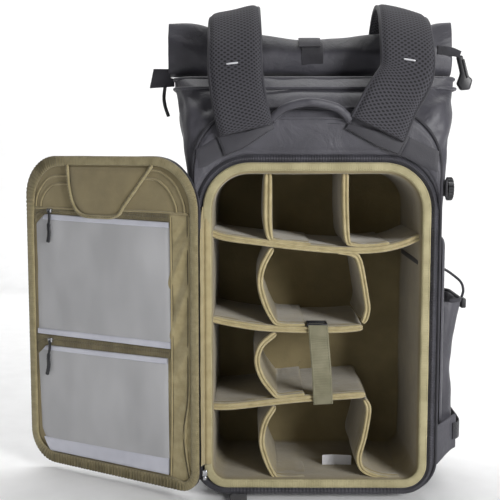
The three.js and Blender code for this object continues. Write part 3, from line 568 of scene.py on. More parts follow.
def arch_path(half, foot, top, radius, count):
    """From one foot of an arch over to the other, with as many points in each of its five stretches."""
    inner, spring = half - radius, top - radius
    shares = [k / count for k in range(count)]
    turns = [share * math.pi / 2 for share in shares]
    points = [(-half, foot + (spring - foot) * share) for share in shares]
    points += [(-inner - radius * math.cos(turn), spring + radius * math.sin(turn)) for turn in turns]
    points += [(-inner + 2 * inner * share, top) for share in shares]
    points += [(inner + radius * math.sin(turn), spring + radius * math.cos(turn)) for turn in turns]
    points += [(half, spring + (foot - spring) * share) for share in [*shares, 1]]
    return on_back(points)


outer_arch = arch_path(BACK_FACE["half"], YOKE_FOOT, YOKE_TOP, YOKE_RADIUS, YOKE_STEPS)
inner_arch = arch_path(
    BACK_FACE["half"] + 0.3, YOKE_FOOT - 3.8, BACK_FACE["high"] + 0.3, BACK_FACE["high_radius"], YOKE_STEPS
)
yoke_section = [0, 0.02, 0.06, 0.1, 0.14, 0.2, 0.3, 0.42, 0.5, 0.6, 0.7, 0.78, 0.84, 0.88, 0.92, 0.96, 1]
rings = []
for share in yoke_section:
    edge = min(share, 1 - share)
    pad = 1.4 + 3.3 * (1 - math.exp(-edge / 0.07)) - 1.1 * math.exp(-(((edge - 0.1) / 0.025) ** 2))
    ring = []
    for near, far in zip(inner_arch, outer_arch):
        wide = min((far - near).length / 40, 1)
        point = near.lerp(far, share)
        ring.append(point + LIFT * (0.8 + (pad - 0.8) * wide))
    rings.append(ring)
yoke = wrap_grid(rings, closed=False)
rumple(yoke, 45, 0.9)
crease(yoke, [((-52, -97, 432), (34, -97, 432), 2.2, -1.0), ((-100, -97, 392), (-64, -97, 402), 10, 1.2)])
finish_piece(yoke, "yoke_cloth", COATED_NYLON, ["yoke_panel"], subdivide=1, thickness=0.8, offset=1)
YOKE_SEAM = [(-56, -97.1, 430), (-40, -97.4, 432.5), (-8, -97.6, 433), (24, -97.4, 432.5), (38, -97.1, 430)]
swept_piece("yoke_seam", smooth_path(YOKE_SEAM, 60), round_section(0.9, 0.7, 8), SEAM_TAPE)
# A paler welt along the head of the panel
YOKE_WELT = [(-60, -97.6, 433), (-50, -98.4, 437.5), (-8, -98.8, 438.5), (28, -98.4, 437.5), (38, -97.6, 433)]
swept_piece("yoke_welt", smooth_path(YOKE_WELT, 60), round_section(1.2, 1.0, 8), COATED_NYLON)

# Camera liner
# A padded box of foam covered in brushed khaki lining stands inside the shell, open towards the door.
# Its back wall is folded along pressed lines, and stitches show where the panels are joined.

LINER = {"half": 121.5, "low": 17.5, "high": 379.5, "low_radius": 20, "high_radius": 44}
LINER_BACK = 57
LINER_RINGS = [
    # grow, y
    (4.5, -91.8), (2.5, -92.0), (0.6, -91.8), (0, -90), (0, -70), (0, -45), (0, -20), (0, 5), (0, 30),
    (-0.4, 48), (-2, 54), (-6, 56.8), (-18, 57), (-40, 57), (-65, 57), (-90, 57), (-112, 57),
]


def liner_outline(grow):
    half = LINER["half"] + grow
    bottom, top = LINER["low"] - grow, LINER["high"] + grow
    low, high = max(LINER["low_radius"] + grow, 1), max(LINER["high_radius"] + grow, 1)
    return outline(-half, half, bottom, top, [low, low, high, high], sides=(20, 30, 16, 30))


# Brushed polyester tricot over foam: matt khaki with a faint bloom at grazing angles. Its paler second
# tone is painted light, laid on the front lips of the pads, raised welts and the strip by the hinge.
KHAKI_LINING = cloth_material("brushed_khaki_lining", "#7c7050", "#8d805d", 0.86, 0.35, 1.3, 0.3, 0.22, 16)
second_tone(KHAKI_LINING, "#9a8d66", "#aa9d77")

rings = [[Vector((x, y, z)) for x, z in liner_outline(grow)] for grow, y in LINER_RINGS]
liner = wrap_grid(rings)
bmesh.ops.holes_fill(liner, edges=[e for e in liner.edges if e.is_boundary and e.verts[0].co.y > 50], sides=0)
rumple(liner, 60, 1.2, lambda p: 1 if p.y > -86 else 0)
bmesh.ops.reverse_faces(liner, faces=liner.faces)
liner_piece = finish_piece(liner, "liner_lining", KHAKI_LINING, ["camera_liner"], subdivide=1, thickness=3.5)

# Pressed folds and joins on the back wall
LINER_FOLDS = [
    # x from, x to, z, how far it stands out
    (-52, 52, 323, 0.9), (24, 119, 240.5, 0.9), (-60, -12, 225, 0.8), (-58, 20, 212, 0.7),
    (-110, 119, 137, 0.9), (30, 118, 113, 0.8), (58, 116, 46, 0.7),
]
for i, (x0, x1, z, proud) in enumerate(LINER_FOLDS):
    on_wall = LINER_BACK - 0.2
    path = smooth_path([(x0, on_wall, z), ((x0 + x1) / 2, on_wall - 0.2, z - 0.6), (x1, on_wall, z)], 24)
    swept_piece(f"liner_fold_{i}", path, round_section(proud, proud * 0.8, 8), KHAKI_LINING)
# Bar tacks in pale twisted thread, a little glossy, hold the elastic on the back wall
PALE_THREAD = cloth_material("pale_thread", "#b9ae88", "#cfc59f", 0.7, 0.1, 0.8, 0.2)
tacks = smooth_path([(x, LINER_BACK - 0.9, 243) for x in (-60, -30, 2)], 62)
stitches("liner_tacks", tacks, 4.2, 5.4, 0.55, PALE_THREAD)

# Slip pocket on the right wall: one flat sheet with a turned hem at its top
pocket_rows = [(z, 119.6 - 0.7 * math.sin(math.pi * (z - 30) / 247)) for z in range(30, 278, 8)]
rings = [[Vector((x, y, z)) for y in range(-80, 51, 10)] for z, x in pocket_rows]
slip = wrap_grid(rings, closed=False)
slip_piece = finish_piece(
    slip, "slip_pocket", KHAKI_LINING, ["inner_side_pocket"], subdivide=1, thickness=0.9, offset=0
)
hem_path = [Vector((118.6, y, 274)) for y in range(-80, 51, 5)]
swept_piece("slip_pocket_hem", hem_path, round_section(3.4, 0.8, 10), SEAM_TAPE, facing=Vector((-1, 0, 0)))

# Shelves and dividers
# Foam boards between two plies of lining. Along the front each ply is turned in and sewn, so that the
# edge shows two lips with a groove between them, and a row of stitches draws the cloth in behind them.
# The thin tongues at the ends of the dividers grip the loop cloth.

PAD_FRONT = -86
PAD_BACK = 56
SEAM_IN = 7.5
SHELF_THICK = 8
SHELVES = {
    # x, z
    "shelf_upper": [
        (-121, 309), (-104, 303.5), (-64, 298), (-18, 292.5), (27, 289), (67, 289.5), (96, 295), (121, 305),
    ],
    "shelf_middle": [(-121, 209), (-98, 204), (-62, 198.5), (-18, 196.5), (26, 196.5), (55, 199)],
    "shelf_lower": [(-121, 105), (-98, 105), (-62, 109), (-18, 114), (26, 117), (59, 119.5)],
}
DIVIDERS = {
    # x, z, thickness from the top end to the end of the tongue
    "divider_upper_left": [
        (-55, 379, 9), (-55.5, 350, 10), (-55.5, 322, 10), (-53, 304.5, 8), (-48, 300.2, 4),
        (-30, 298.6, 3), (-6, 296, 3),
    ],
    "divider_upper_right": [
        (33, 379, 8), (33, 350, 8), (34, 322, 8), (36, 300.5, 7), (42, 295.2, 4), (64, 294.8, 3),
        (84, 297.4, 3),
    ],
    "divider_middle_left": [
        (-50, 291, 7), (-61, 270, 7), (-64, 249, 7), (-58, 226, 7), (-49, 208, 6), (-42, 202.8, 4),
        (-26, 202.2, 3), (-12, 202.2, 3),
    ],
    "divider_middle_right": [
        (24, 286.6, 4), (42, 284.6, 7), (50, 276, 7), (56, 248, 7), (58, 236, 7), (60, 221, 7),
        (57.5, 209, 7), (54, 204.6, 4.5),
    ],
    "divider_lower_left": [
        (-46, 192, 7), (-62, 178, 7), (-67.5, 160, 7), (-62, 140, 7), (-49, 122, 6), (-42, 117, 4),
        (-26, 118.8, 3), (-12, 120.2, 3),
    ],
    "divider_bottom_left": [
        (-47, 105, 7), (-58, 86, 7), (-62, 63, 7), (-57, 42, 7), (-48, 22.5, 6), (-41, 19.6, 4),
        (-26, 19.4, 3), (-10, 19.4, 3),
    ],
    "divider_bottom_right": [
        (58, 113.6, 5), (62.5, 104, 7), (61, 86, 7), (57, 65, 7), (52, 44, 7), (56, 30, 6), (70, 22.4, 5),
        (88, 19.6, 3), (101, 19.4, 3),
    ],
}
PAD_DEPTHS = [0.6, 1.6, 3, 5, 6.4, 7.5, 8.6, 10.5, 14, 22, 36, 56, 80, 104, 124, 136, 140, 141.6]


def pad_section(pad):
    """Points of (depth from the front, side) round a padded board with a two-lipped front edge."""
    lip = pad / 4
    front = []
    for k in range(9):
        side = pad / 2 * (k / 4 - 1)
        front.append((lip - math.sqrt(max(lip**2 - (abs(side) - lip) ** 2, 0)), side))
    front[4] = (lip * 1.5, 0)
    top = []
    for depth in PAD_DEPTHS:
        pinch = 0.2 * math.exp(-(((depth - SEAM_IN) / 1.3) ** 2))
        back = 0.6 * math.exp(-(((142 - depth) / 2.2) ** 2))
        top.append((lip + depth, pad / 2 * (1 - pinch - back)))
    bottom = [(depth, -side) for depth, side in reversed(top)]
    return front + top + bottom


def pad_board(rows, steps):
    """A padded board that follows rows of x, z and thickness, with rounded ends."""
    rings = []
    for j in range(steps + 1):
        share = j / steps
        x, z, pad = row_at(rows, share)
        x1, z1, _ = row_at(rows, min(share + 0.01, 1))
        x0, z0, _ = row_at(rows, max(share - 0.01, 0))
        along = Vector((x1 - x0, 0, z1 - z0)).normalized()
        side = Vector((-along.z, 0, along.x))
        end = min(j, steps - j)
        soft = (0.55, 0.86, 1)[min(end, 2)]
        ring = []
        for depth, off in pad_section(pad):
            ring.append(Vector((x, PAD_FRONT + depth + (1 - soft) * 1.5, z)) + side * off * soft)
        rings.append(ring)
    mesh = wrap_grid(rings, capped=True)
    # Painted light: the front lips, out to the seam, take the lining's paler tone.
    edge = mesh.verts.layers.float.new("edge")
    for vertex in mesh.verts:
        vertex[edge] = 1 - unit((vertex.co.y - PAD_FRONT - SEAM_IN) / 1.5)
    return mesh


def puff(piece, pressure, cap, held, slack=0.03):
    """Fills a pad by a short cloth simulation with some slack cloth. Its seams are held, and each point
    stays within cap millimetres of where it was."""
    group = piece.vertex_groups.new(name="held")
    group.add([v.index for v in piece.data.vertices if held(v.co / MM)], 1, "REPLACE")
    cloth = piece.modifiers.new("fill", "CLOTH")
    cloth.settings.vertex_group_mass = "held"
    cloth.settings.use_pressure = True
    cloth.settings.uniform_pressure_force = pressure
    cloth.settings.shrink_min = -slack
    cloth.settings.effector_weights.gravity = 0
    cloth.settings.quality = 4
    for number in range(1, 19):
        scene.frame_set(number)
    settled = piece.evaluated_get(bpy.context.evaluated_depsgraph_get()).data
    starts = [v.co.copy() for v in piece.data.vertices]
    ends = [v.co.copy() for v in settled.vertices]
    piece.modifiers.remove(cloth)
    piece.vertex_groups.remove(group)
    for vertex, start, end in zip(piece.data.vertices, starts, ends):
        move = end - start
        vertex.co = start + move * min(1, cap * MM / max(move.length, 1e-9))
    scene.frame_set(1)


shelves = {name: [(*place, SHELF_THICK) for place in places] for name, places in SHELVES.items()}
for name, rows in {**shelves, **DIVIDERS}.items():
    board = pad_board(rows, 8 * (len(rows) - 1))
    rumple(board, 24, 0.5, lambda p: 1 if p.y > PAD_FRONT + 12 else 0.25)
    piece = finish_piece(board, f"{name}_pad", KHAKI_LINING, [name])
    puff(piece, 2.5, 1.2, lambda p: p.y < PAD_FRONT + 9 or p.y > PAD_BACK - 8)
    soften(piece, 1)

# Holding strap, its keeper and the care label
# Grey-green webbing is hooked on the middle shelf by a small moulded keeper and hangs over the lower
# shelf. A bare woven label is sewn into the floor.

# Soft nylon webbing: grey-green and matt, with close ribs across it.
GREY_GREEN_WEBBING = ribbed_tape("grey_green_webbing_weave", "#69664f", "#7a765f", 0.75, 1.4, 0.35, 0.25)
RETENTION_ROWS = [
    (3, -72, 202.2, 23, 1.4, 0), (3, -83, 202.4, 23, 1.4, 0), (3, -87.2, 201.9, 23, 1.4, 0),
    (3, -88.4, 199.4, 23, 1.4, 0), (4, -89.2, 185, 23, 1.4, 0), (7, -90, 150, 23, 1.4, 0),
    (9, -88.2, 118, 23, 1.4, 1), (9.5, -87.8, 109, 23, 1.4, 1),
]


def strap_rings(rows, steps, section):
    """Rings along rows of x, y, z, width, thickness and lean; section gives shares of the half sizes."""
    rings = []
    count = steps * (len(rows) - 1)
    for j in range(count + 1):
        x, y, z, width, pad, lean = row_at(rows, j / count)
        ahead = Vector(row_at(rows, min(j / count + 0.004, 1))[:3])
        behind = Vector(row_at(rows, max(j / count - 0.004, 0))[:3])
        along = (ahead - behind).normalized()
        across = Vector((math.cos(math.radians(lean)), 0, math.sin(math.radians(lean))))
        across = (across - along * across.dot(along)).normalized()
        out = along.cross(across)
        centre = Vector((x, y, z))
        rings.append([centre + across * a * width / 2 + out * b * pad / 2 for a, b in section])
    return rings


FLAT_WEB = round_section(1, 1, 20, power=7)


def web_piece(name, rows, steps, material, nodes=(), section=FLAT_WEB):
    """A finished length of webbing or edging along rows for strap_rings."""
    mesh = wrap_grid(strap_rings(rows, steps, section), capped=True)
    return finish_piece(mesh, name, material, nodes, subdivide=1)


web_piece("holding_strap", RETENTION_ROWS, 8, GREY_GREEN_WEBBING, ["retention_strap"])
for name, off in (("holding_strap_edge_left", -0.86), ("holding_strap_edge_right", 0.86)):
    selvedge = [(off + a, 0.55 + b) for a, b in round_section(0.06, 0.9, 8)]
    edge = wrap_grid(strap_rings(RETENTION_ROWS[3:], 8, selvedge), capped=True)
    finish_piece(edge, name, GREY_GREEN_WEBBING)

# Moulded acetal: black plastic with a soft gloss and very fine spark-eroded grain.
BLACK_ACETAL = new_material("moulded_acetal", 0.38)
place = object_place(BLACK_ACETAL)
link_colour(BLACK_ACETAL, mottled(BLACK_ACETAL, place, 8, "#17171a", "#1f1f23"))
link_relief(BLACK_ACETAL, clouds(BLACK_ACETAL, place, 0.5, Detail=1), 0.15, 0.1)


def round_edges(mesh, soft, segments=3):
    bmesh.ops.bevel(
        mesh, geom=list(mesh.edges), offset=soft, offset_type="OFFSET", segments=segments, profile=0.5,
        affect="EDGES", material=-1, clamp_overlap=True,
    )


def bar_set(bars, soft):
    """Moulded bars of centre and size, joined in one mesh with rounded edges."""
    mesh = bmesh.new()
    for centre, size in bars:
        made = bmesh.ops.create_cube(mesh, size=1)["verts"]
        bmesh.ops.scale(mesh, vec=size, verts=made)
        bmesh.ops.translate(mesh, vec=centre, verts=made)
    round_edges(mesh, soft)
    return mesh


keeper = bar_set(
    [
        ((1.5, -71.2, 203.2), (24, 2.4, 3)), ((1.5, -79.5, 203.4), (24, 2.4, 2.8)),
        ((1.5, -86.9, 202.4), (24, 2.4, 3)), ((-9.6, -79, 203.3), (1.8, 16, 2.6)),
        ((12.6, -79, 203.3), (1.8, 16, 2.6)),
    ],
    0.8,
)
finish_piece(keeper, "strap_keeper", BLACK_ACETAL, ["retention_keeper"], sharp=50)

# Woven satin: off-white with a faint sheen.
LABEL_CLOTH = cloth_material("white_satin_label", "#cfcfd4", "#e2e2e6", 0.55, 0.2, 0.9, 0.15)
label_rows = []
for z in range(18, 34, 3):
    curl = 1.6 * (z - 18) / 15
    label_rows.append([Vector((x, -40.3 + curl * math.sin((x - 12) / 9), z)) for x in range(12, 49, 3)])
label = finish_piece(
    wrap_grid(label_rows, closed=False), "bare_label", LABEL_CLOTH, ["care_label"], subdivide=1,
    thickness=0.3, offset=0,
)

# Rolled collar
# The long nylon mouth of the bag is wound twice round an empty core and held down by one strap. Its
# ends are stiffer and stand taller, and a pressed fold runs along the side that faces the harness.

ROLL = {"bottom": 489.3, "half_depth": 25.5, "half_height": 23, "turns": 2, "shrink": 0.22}
ROLL_ROWS = [
    # x, height, depth share
    (-174, 70, 0.62), (-150, 70, 0.8), (-129, 66, 0.95), (-119, 60, 1), (-93, 58, 1), (-60, 55, 1),
    (-19, 49, 1), (15, 49, 1), (64, 55, 1), (98, 58, 1), (126, 61, 1), (136, 66, 0.95), (148, 70, 0.8),
    (165, 71, 0.62),
]
FOLD_LINE = 518
ROLL_CREASES = [
    # from, to, half width, depth
    ((-172, -16, 536), (-128, -27, 508), 5, 3.2),
    ((-170, -20, 516), (-118, -28, 497), 4, 2.4),
    ((-150, -24, 548), (-122, -26, 524), 6, -2.6),
    ((-124, -27, 519.5), (-10, -27, 517), 2.2, 2.6),
    ((-10, -27, 517), (140, -27, 519.5), 2.2, 2.6),
    ((108, -26, 540), (162, -18, 512), 6, 2.6),
    ((-60, -25, 530), (40, -26, 524), 7, 1.8),
    ((-140, 20, 540), (-90, 24, 505), 7, 2.5),
    ((60, 24, 535), (130, 22, 505), 7, 2.5),
]


def on_roll(turn, lift, x):
    """Point on the rolled cloth after that many turns, and lift millimetres outside it."""
    angle = turn * 2 * math.pi - math.pi / 2
    scale = 1 - ROLL["shrink"] * turn
    y = -(ROLL["half_depth"] * scale + lift) * math.cos(angle)
    z = ROLL["bottom"] + ROLL["half_height"] + (ROLL["half_height"] * scale + lift) * math.sin(angle)
    return Vector((x, y, z))


def roll_ring(x, height, depth_share):
    points = []
    for k in range(ROLL["turns"] * 30 + 1):
        point = on_roll(k / 30, -1, x)
        share = (point.z - ROLL["bottom"]) / (2 * ROLL["half_height"])
        y = point.y * depth_share
        if y < 0 and k <= 30:
            # Flat below the pressed fold, leaning back above it
            lean = 0.75 * max(0, 2 * share - 1) ** 1.2
            flat = ROLL["half_depth"] * depth_share * (1 - lean)
            y = y * 0.35 - flat * 0.65 * min(1, share * 12)
        points.append(Vector((x, y, ROLL["bottom"] + share * height)))
    return points


# Above the pressed fold the collar's nylon is painted darker: painted shade where the roll leans back
# from the light, fading towards its ends and on the far side.
ROLL_NYLON = second_tone(cloth_material("rolled_nylon", *NYLON_LOOK), "#232228", "#2c2b31")
# Half length of the stretch of painted shade, its middle and how far it fades out
PAINTED_SHADE_HALF, PAINTED_SHADE_MIDDLE, PAINTED_SHADE_FADE = 118, -2, 12
rings = [roll_ring(*row_at(ROLL_ROWS, j / 84)) for j in range(85)]
roll = wrap_grid(rings, closed=False)
painted_shade_layer = roll.verts.layers.float.new("edge")
# Painted shade: full above the fold along the middle, a quarter of it at the ends, half on the far side
for vertex in roll.verts:
    x, y, z = vertex.co
    above = unit((z - FOLD_LINE) / 2)
    along = unit((PAINTED_SHADE_HALF - abs(x - PAINTED_SHADE_MIDDLE)) / PAINTED_SHADE_FADE)
    vertex[painted_shade_layer] = above * max(0.25, along) * (1 if y < 12 else 0.5)
crease(roll, ROLL_CREASES)
rumple(roll, 34, 2.0)
roll_piece = finish_piece(
    roll, "rolled_collar", ROLL_NYLON, ["roll_top"], subdivide=1, thickness=1.6, offset=0
)

# Roll strap and its loop: black webbing round the middle of the roll and down the far face
WEB_LIFT = 1.6
# Flat polyester webbing: matt, close to black, with fine ribs across it.
BLACK_WEBBING = ribbed_tape("black_webbing_weave", "#222126", "#302f35", 0.78, 1.5, 0.55, 0.15)

turns = (0.1, 0.16, 0.22, 0.28, 0.36, 0.44, 0.52, 0.6, 0.68, 0.75)
strap_rows = [(*on_roll(turn, WEB_LIFT, -2), 26, 1.6, 0) for turn in turns]
for y, z in ((34, 497), (54.8, 474), (68.6, 457.5), (77.7, 440), (85.6, 415), (91.4, 380), (95.3, 318)):
    strap_rows.append((-2, y + 0.6, z, 26, 1.6, 0))
web_piece("roll_strap_web", strap_rows, 6, BLACK_WEBBING, ["roll_strap"])
loop_rows = [(*on_roll(turn, WEB_LIFT + 2.6, -5), 26, 1.6, 0) for turn in (0.33, 0.38, 0.43, 0.48, 0.52)]
web_piece("roll_strap_loop_web", loop_rows, 6, BLACK_WEBBING, ["roll_strap_loop"])

# Shoulder straps
# Foam straps faced with perforated knit and bound along both edges, thrown up over the roll so that they
# hang down the far side. Each starts in a nylon base sewn to the yoke.

STRAP_ROWS = {
    # x, y, z, width, thickness, lean
    "left": [
        (-80, -104, 425, 60, 11, 10), (-87, -104, 455, 60, 11, 6), (-92, -96, 490, 60, 11, 4),
        (-93, -75, 530, 60, 11, 7), (-94, -44, 556, 60, 11, 11), (-94, -6, 564, 60, 11, 12),
        (-94, 30, 548, 60, 11, 9), (-95, 56, 508, 60, 11, 4), (-96, 80, 450, 60, 11, 2),
        (-97, 96, 390, 54, 11, 0), (-98, 101, 330, 44, 11, 0),
    ],
    "right": [
        (66, -104, 426, 66, 11, -10), (81, -104, 458, 62, 11, -6), (99, -96, 490, 60, 11, -4),
        (101, -75, 530, 60, 11, -8), (102, -44, 556, 60, 11, -12), (102, -6, 565, 60, 11, -14),
        (102, 30, 548, 60, 11, -10), (101, 56, 508, 60, 11, -4), (100, 80, 450, 60, 11, -2),
        (99, 96, 390, 54, 11, 0), (98, 101, 330, 44, 11, 0),
    ],
}
HOLE_PITCH = 5.4


def perforated_knit():
    """Knitted spacer mesh, charcoal and matt, pierced by small openings set on the diagonal."""
    material = new_material("perforated_spacer_knit", 0.85)
    scale = math.sqrt(2) / HOLE_PITCH
    turned = add_node(
        material, "ShaderNodeMapping",
        {"Vector": cloth_place(material), "Rotation": (0, 0, math.pi / 4), "Scale": (scale, scale, 1)},
    )
    cells = add_node(
        material, "ShaderNodeTexVoronoi",
        {"Vector": turned.outputs["Vector"], "Scale": 1.0, "Randomness": 0.0},
        {"voronoi_dimensions": "2D"},
    )
    # The openings are painted near-black, as painted shade in their hollows.
    tone = two_tones(material, cells.outputs["Distance"], 0.22, "#0c0b0e", 0.42, "#3c3b41")
    link_colour(material, tone)
    link_relief(material, tone, 0.9, 0.8)
    return material


SPACER_KNIT = perforated_knit()
STRAP_SECTION = []
for k in range(44):
    turn = 2 * math.pi * k / 44
    across = math.cos(turn)
    reach = abs(across)
    height = math.sqrt(max(1 - reach**7, 0)) - 0.24 * math.exp(-(((reach - 0.9) / 0.035) ** 2))
    STRAP_SECTION.append((across, math.copysign(height, math.sin(turn)) if k % 22 else 0))

for side, rows in STRAP_ROWS.items():
    strap = wrap_grid(strap_rings(rows, 9, STRAP_SECTION), capped=True)
    rumple(strap, 30, 1.0)
    name = f"strap_pad_{side}"
    pad = finish_piece(strap, name, SPACER_KNIT, [f"shoulder_strap_{side}"], subdivide=1)
    for edge_name, edge_side in (("inner", 1), ("outer", -1)):
        section = [(edge_side * 0.965 + a, b) for a, b in round_section(0.07, 0.52, 10)]
        web_piece(f"strap_edging_{side}_{edge_name}", rows, 9, SEAM_TAPE, section=section)

# Glass-bead tape: light grey and smooth, bright beside the matt knit.
REFLECTIVE = cloth_material("reflective_tape", "#a9a9ae", "#c6c6ca", 0.4, 0.0, 1.2, 0.2)
for side, x, out, z, lean in (("left", -95.5, -99.4, 499, 0.12), ("right", 101.5, -97.8, 503, -0.16)):
    path = [Vector((x + d, out, z + d * lean)) for d in (-7, -3.5, 0, 3.5, 7)]
    swept_piece(f"reflective_bar_{side}", path, round_section(1.0, 0.35, 8, power=4), REFLECTIVE)


def plate(points, place, thickness, soft, segments=3):
    """A flat plate cut to an outline of two coordinates, with rounded edges. place puts (a, b, out)."""
    mesh = bmesh.new()
    corners = [mesh.verts.new((a, b, 0)) for a, b in points]
    base = mesh.faces.new(corners)
    grown = bmesh.ops.extrude_face_region(mesh, geom=[base])
    top = [v for v in grown["geom"] if isinstance(v, bmesh.types.BMVert)]
    bmesh.ops.translate(mesh, verts=top, vec=(0, 0, thickness))
    bmesh.ops.recalc_face_normals(mesh, faces=mesh.faces)
    round_edges(mesh, soft, segments)
    for vertex in mesh.verts:
        vertex.co = place(vertex.co.x, vertex.co.y, vertex.co.z)
    bmesh.ops.recalc_face_normals(mesh, faces=mesh.faces)
    return mesh


def dense_plate(points, place, thickness, spacing, crown=0.0, edge=3.0):
    """A soft flat piece cut from cloth: a fine grid trimmed to a convex outline, swelling by crown."""
    mesh = bmesh.new()
    low = [min(p[i] for p in points) for i in (0, 1)]
    size = [max(p[i] for p in points) - low[i] for i in (0, 1)]
    layer = mesh.loops.layers.uv.new("mm")
    columns, levels = (max(int(length / spacing), 2) for length in size)
    bmesh.ops.create_grid(mesh, x_segments=columns, y_segments=levels, size=0.5)
    for vertex in mesh.verts:
        a, b = (low[i] + (vertex.co[i] + 0.5) * size[i] for i in (0, 1))
        vertex.co = Vector((a, b, 0))
    pairs = list(zip(points, points[1:] + points[:1]))
    turn = sum(a[0] * b[1] - a[1] * b[0] for a, b in pairs)
    for a, b in pairs:
        outward = Vector((b[1] - a[1], a[0] - b[0], 0)) * math.copysign(1, turn)
        if outward.length > 0.01:
            bmesh.ops.bisect_plane(
                mesh, geom=mesh.verts[:] + mesh.edges[:] + mesh.faces[:], plane_co=(a[0], a[1], 0),
                plane_no=outward, clear_outer=True, dist=0.0001,
            )
    for face in mesh.faces:
        for corner in face.loops:
            corner[layer].uv = corner.vert.co.xy
    for vertex in mesh.verts:
        away = 1e9
        for a, b in pairs:
            side = Vector((b[0] - a[0], b[1] - a[1]))
            if side.length > 0.01:
                off = abs(side.x * (vertex.co.y - a[1]) - side.y * (vertex.co.x - a[0])) / side.length
                away = min(away, off)
        lift = thickness + crown * (1 - math.exp(-away / edge))
        vertex.co = place(vertex.co.x, vertex.co.y, lift * min(1, 0.35 + away / 2))
    bmesh.ops.recalc_face_normals(mesh, faces=mesh.faces)
    return mesh


def on_yoke(x, z, out):
    return Vector((x, -97.6 - out, z))


STRAP_BASES = {
    "left": [(-113, 419), (-104, 396), (-82, 405), (-48, 428), (-51, 434), (-80, 424)],
    "right": [(30, 427), (66, 407), (92, 397), (103, 419), (70, 424), (34, 433)],
}
# Heavy nylon of the bases: darker and flatter than the shell, with a coarse weave.
BASE_NYLON = cloth_material("heavy_nylon", "#2c2b31", "#37363c", 0.6, 0.1, 1.1, 0.35)
for side, corners in STRAP_BASES.items():
    base = plate(corners, on_yoke, 4.2, 1.4)
    finish_piece(base, f"strap_base_cloth_{side}", BASE_NYLON, [f"strap_base_{side}"], sharp=50)
    line = [Vector((x, -101.9, z)) for x, z in corners[:4]]
    seam = []
    for a, b in zip(line, line[1:]):
        seam += [a.lerp(b, k / 8) for k in range(8)]
    middle = Vector((sum(p.x for p in line) / 4, -101.9, sum(p.z for p in line) / 4 + 6))
    seam = [point.lerp(middle, 0.09) for point in seam]
    stitches(f"strap_base_stitches_{side}", seam, 2.4, 1.4, 0.3, SEAM_TAPE)
# Two bands of the same nylon run from the bases to the edge of the yoke
BASE_BANDS = {
    "left": [(-112, 418), (-136, 404), (-137, 378), (-105, 397)],
    "right": [(102, 418), (93, 398), (137, 376), (136.5, 402)],
}
for side, corners in BASE_BANDS.items():
    band = dense_plate(corners, lambda x, z, out: Vector((x, -97.2 - out, z)), 0.8, 3, 0.2, 2)
    finish_piece(band, f"strap_band_{side}", BASE_NYLON)

# Grab handle
# A soft nylon tube sewn into the top of the yoke, arched between the straps, with one piped seam below.

HANDLE_ROWS = [
    (-51, -100.7, 437, 11, 5, 4), (-46, -104, 443, 11, 6, 4), (-34, -109, 451, 10, 8, 10),
    (-9, -114, 456, 10, 8, 0), (18, -109, 451, 10, 8, -10), (30, -104, 443, 11, 6, -4),
    (36, -100.7, 437, 11, 5, -4),
]


def handle_path(drop, out):
    rows = [(x, y - out, z - drop) for x, y, z, *_ in HANDLE_ROWS]
    return smooth_path(rows, 60)


tube = wrap_grid(sweep(handle_path(0, 0), round_section(4.6, 3.8, 16, power=2.3)), capped=True)
rumple(tube, 14, 0.5)
handle = finish_piece(tube, "handle_tube", COATED_NYLON, ["grab_handle"], subdivide=1)
swept_piece("handle_seam", handle_path(4.6, 0.6), round_section(0.9, 0.9, 8), SEAM_TAPE)

# Lower straps
# A nylon wing is sewn into each side seam low down. Webbing starts on it, runs round the flank and up
# the far side into the adjuster at the end of the shoulder strap.

LOWER_STARTS = {
    "left": [(146.1, -74.2), (147.6, -66.2), (147.5, -50)],
    "right": [(163.8, -71.3), (169.7, -66.6), (174.5, -55)],
}
FLANK_OUT = {"left": 146.9, "right": 176}
WING_ROWS = [
    # share of the reach, low z, high z, y
    (0, 36, 84, -87), (0.35, 43, 87, -80), (0.75, 49, 91, -71), (1, 51, 93, -66),
]
WING_REACH = {"left": 4, "right": 26}
WEB_WIDE = 20
for side, sign in (("left", -1), ("right", 1)):
    out = FLANK_OUT[side]
    rows = [(x, y, 72, 90) for x, y in (*LOWER_STARTS[side], (out, -30), (out, 30))]
    rows += [
        (max(out - 6, 143.4), 66, 78, 86), (132, 93, 104, 62), (108, 99, 160, 25), (99, 98.5, 230, 4),
        (98, 99.5, 305.6, 0),
    ]
    rows = [(sign * x, y, z, WEB_WIDE, 1.6, sign * lean) for x, y, z, lean in rows]
    web_piece(f"lower_web_{side}", rows, 8, BLACK_WEBBING, [f"lower_webbing_{side}"])
    rings = []
    for k in range(17):
        share, low_z, high_z, y = row_at(WING_ROWS, k / 16)
        x = 142.5 + WING_REACH[side] * share
        rings.append([Vector((sign * x, y, low_z + (high_z - low_z) * s / 20)) for s in range(21)])
    cloth = wrap_grid(rings, closed=False)
    rumple(cloth, 12, 0.5)
    wing, nodes = f"wing_cloth_{side}", [f"strap_wing_{side}"]
    finish_piece(cloth, wing, COATED_NYLON, nodes, subdivide=1, thickness=1.6, offset=0)

for side, sign in (("left", -1), ("right", 1)):
    # A ladder buckle: a frame with four bars that the webbing passes over and under
    bars = [((sign * 98, 99.6, z), (34, 3.6, 3.2)) for z in (307.6, 314.5, 321, 327.6)]
    bars += [((sign * 98 + x, 99.6, 317.6), (3, 3.6, 23)) for x in (-15.5, 15.5)]
    ladder = bar_set(bars, 0.9)
    finish_piece(ladder, f"ladder_buckle_{side}", BLACK_ACETAL, [f"strap_adjuster_{side}"], sharp=50)

# Left end of the collar
# A doubled webbing tab sewn under the roll, with a short rubber-coated cord pull.


def facing_back(x, z, out):
    return Vector((x, -9 - out, z))


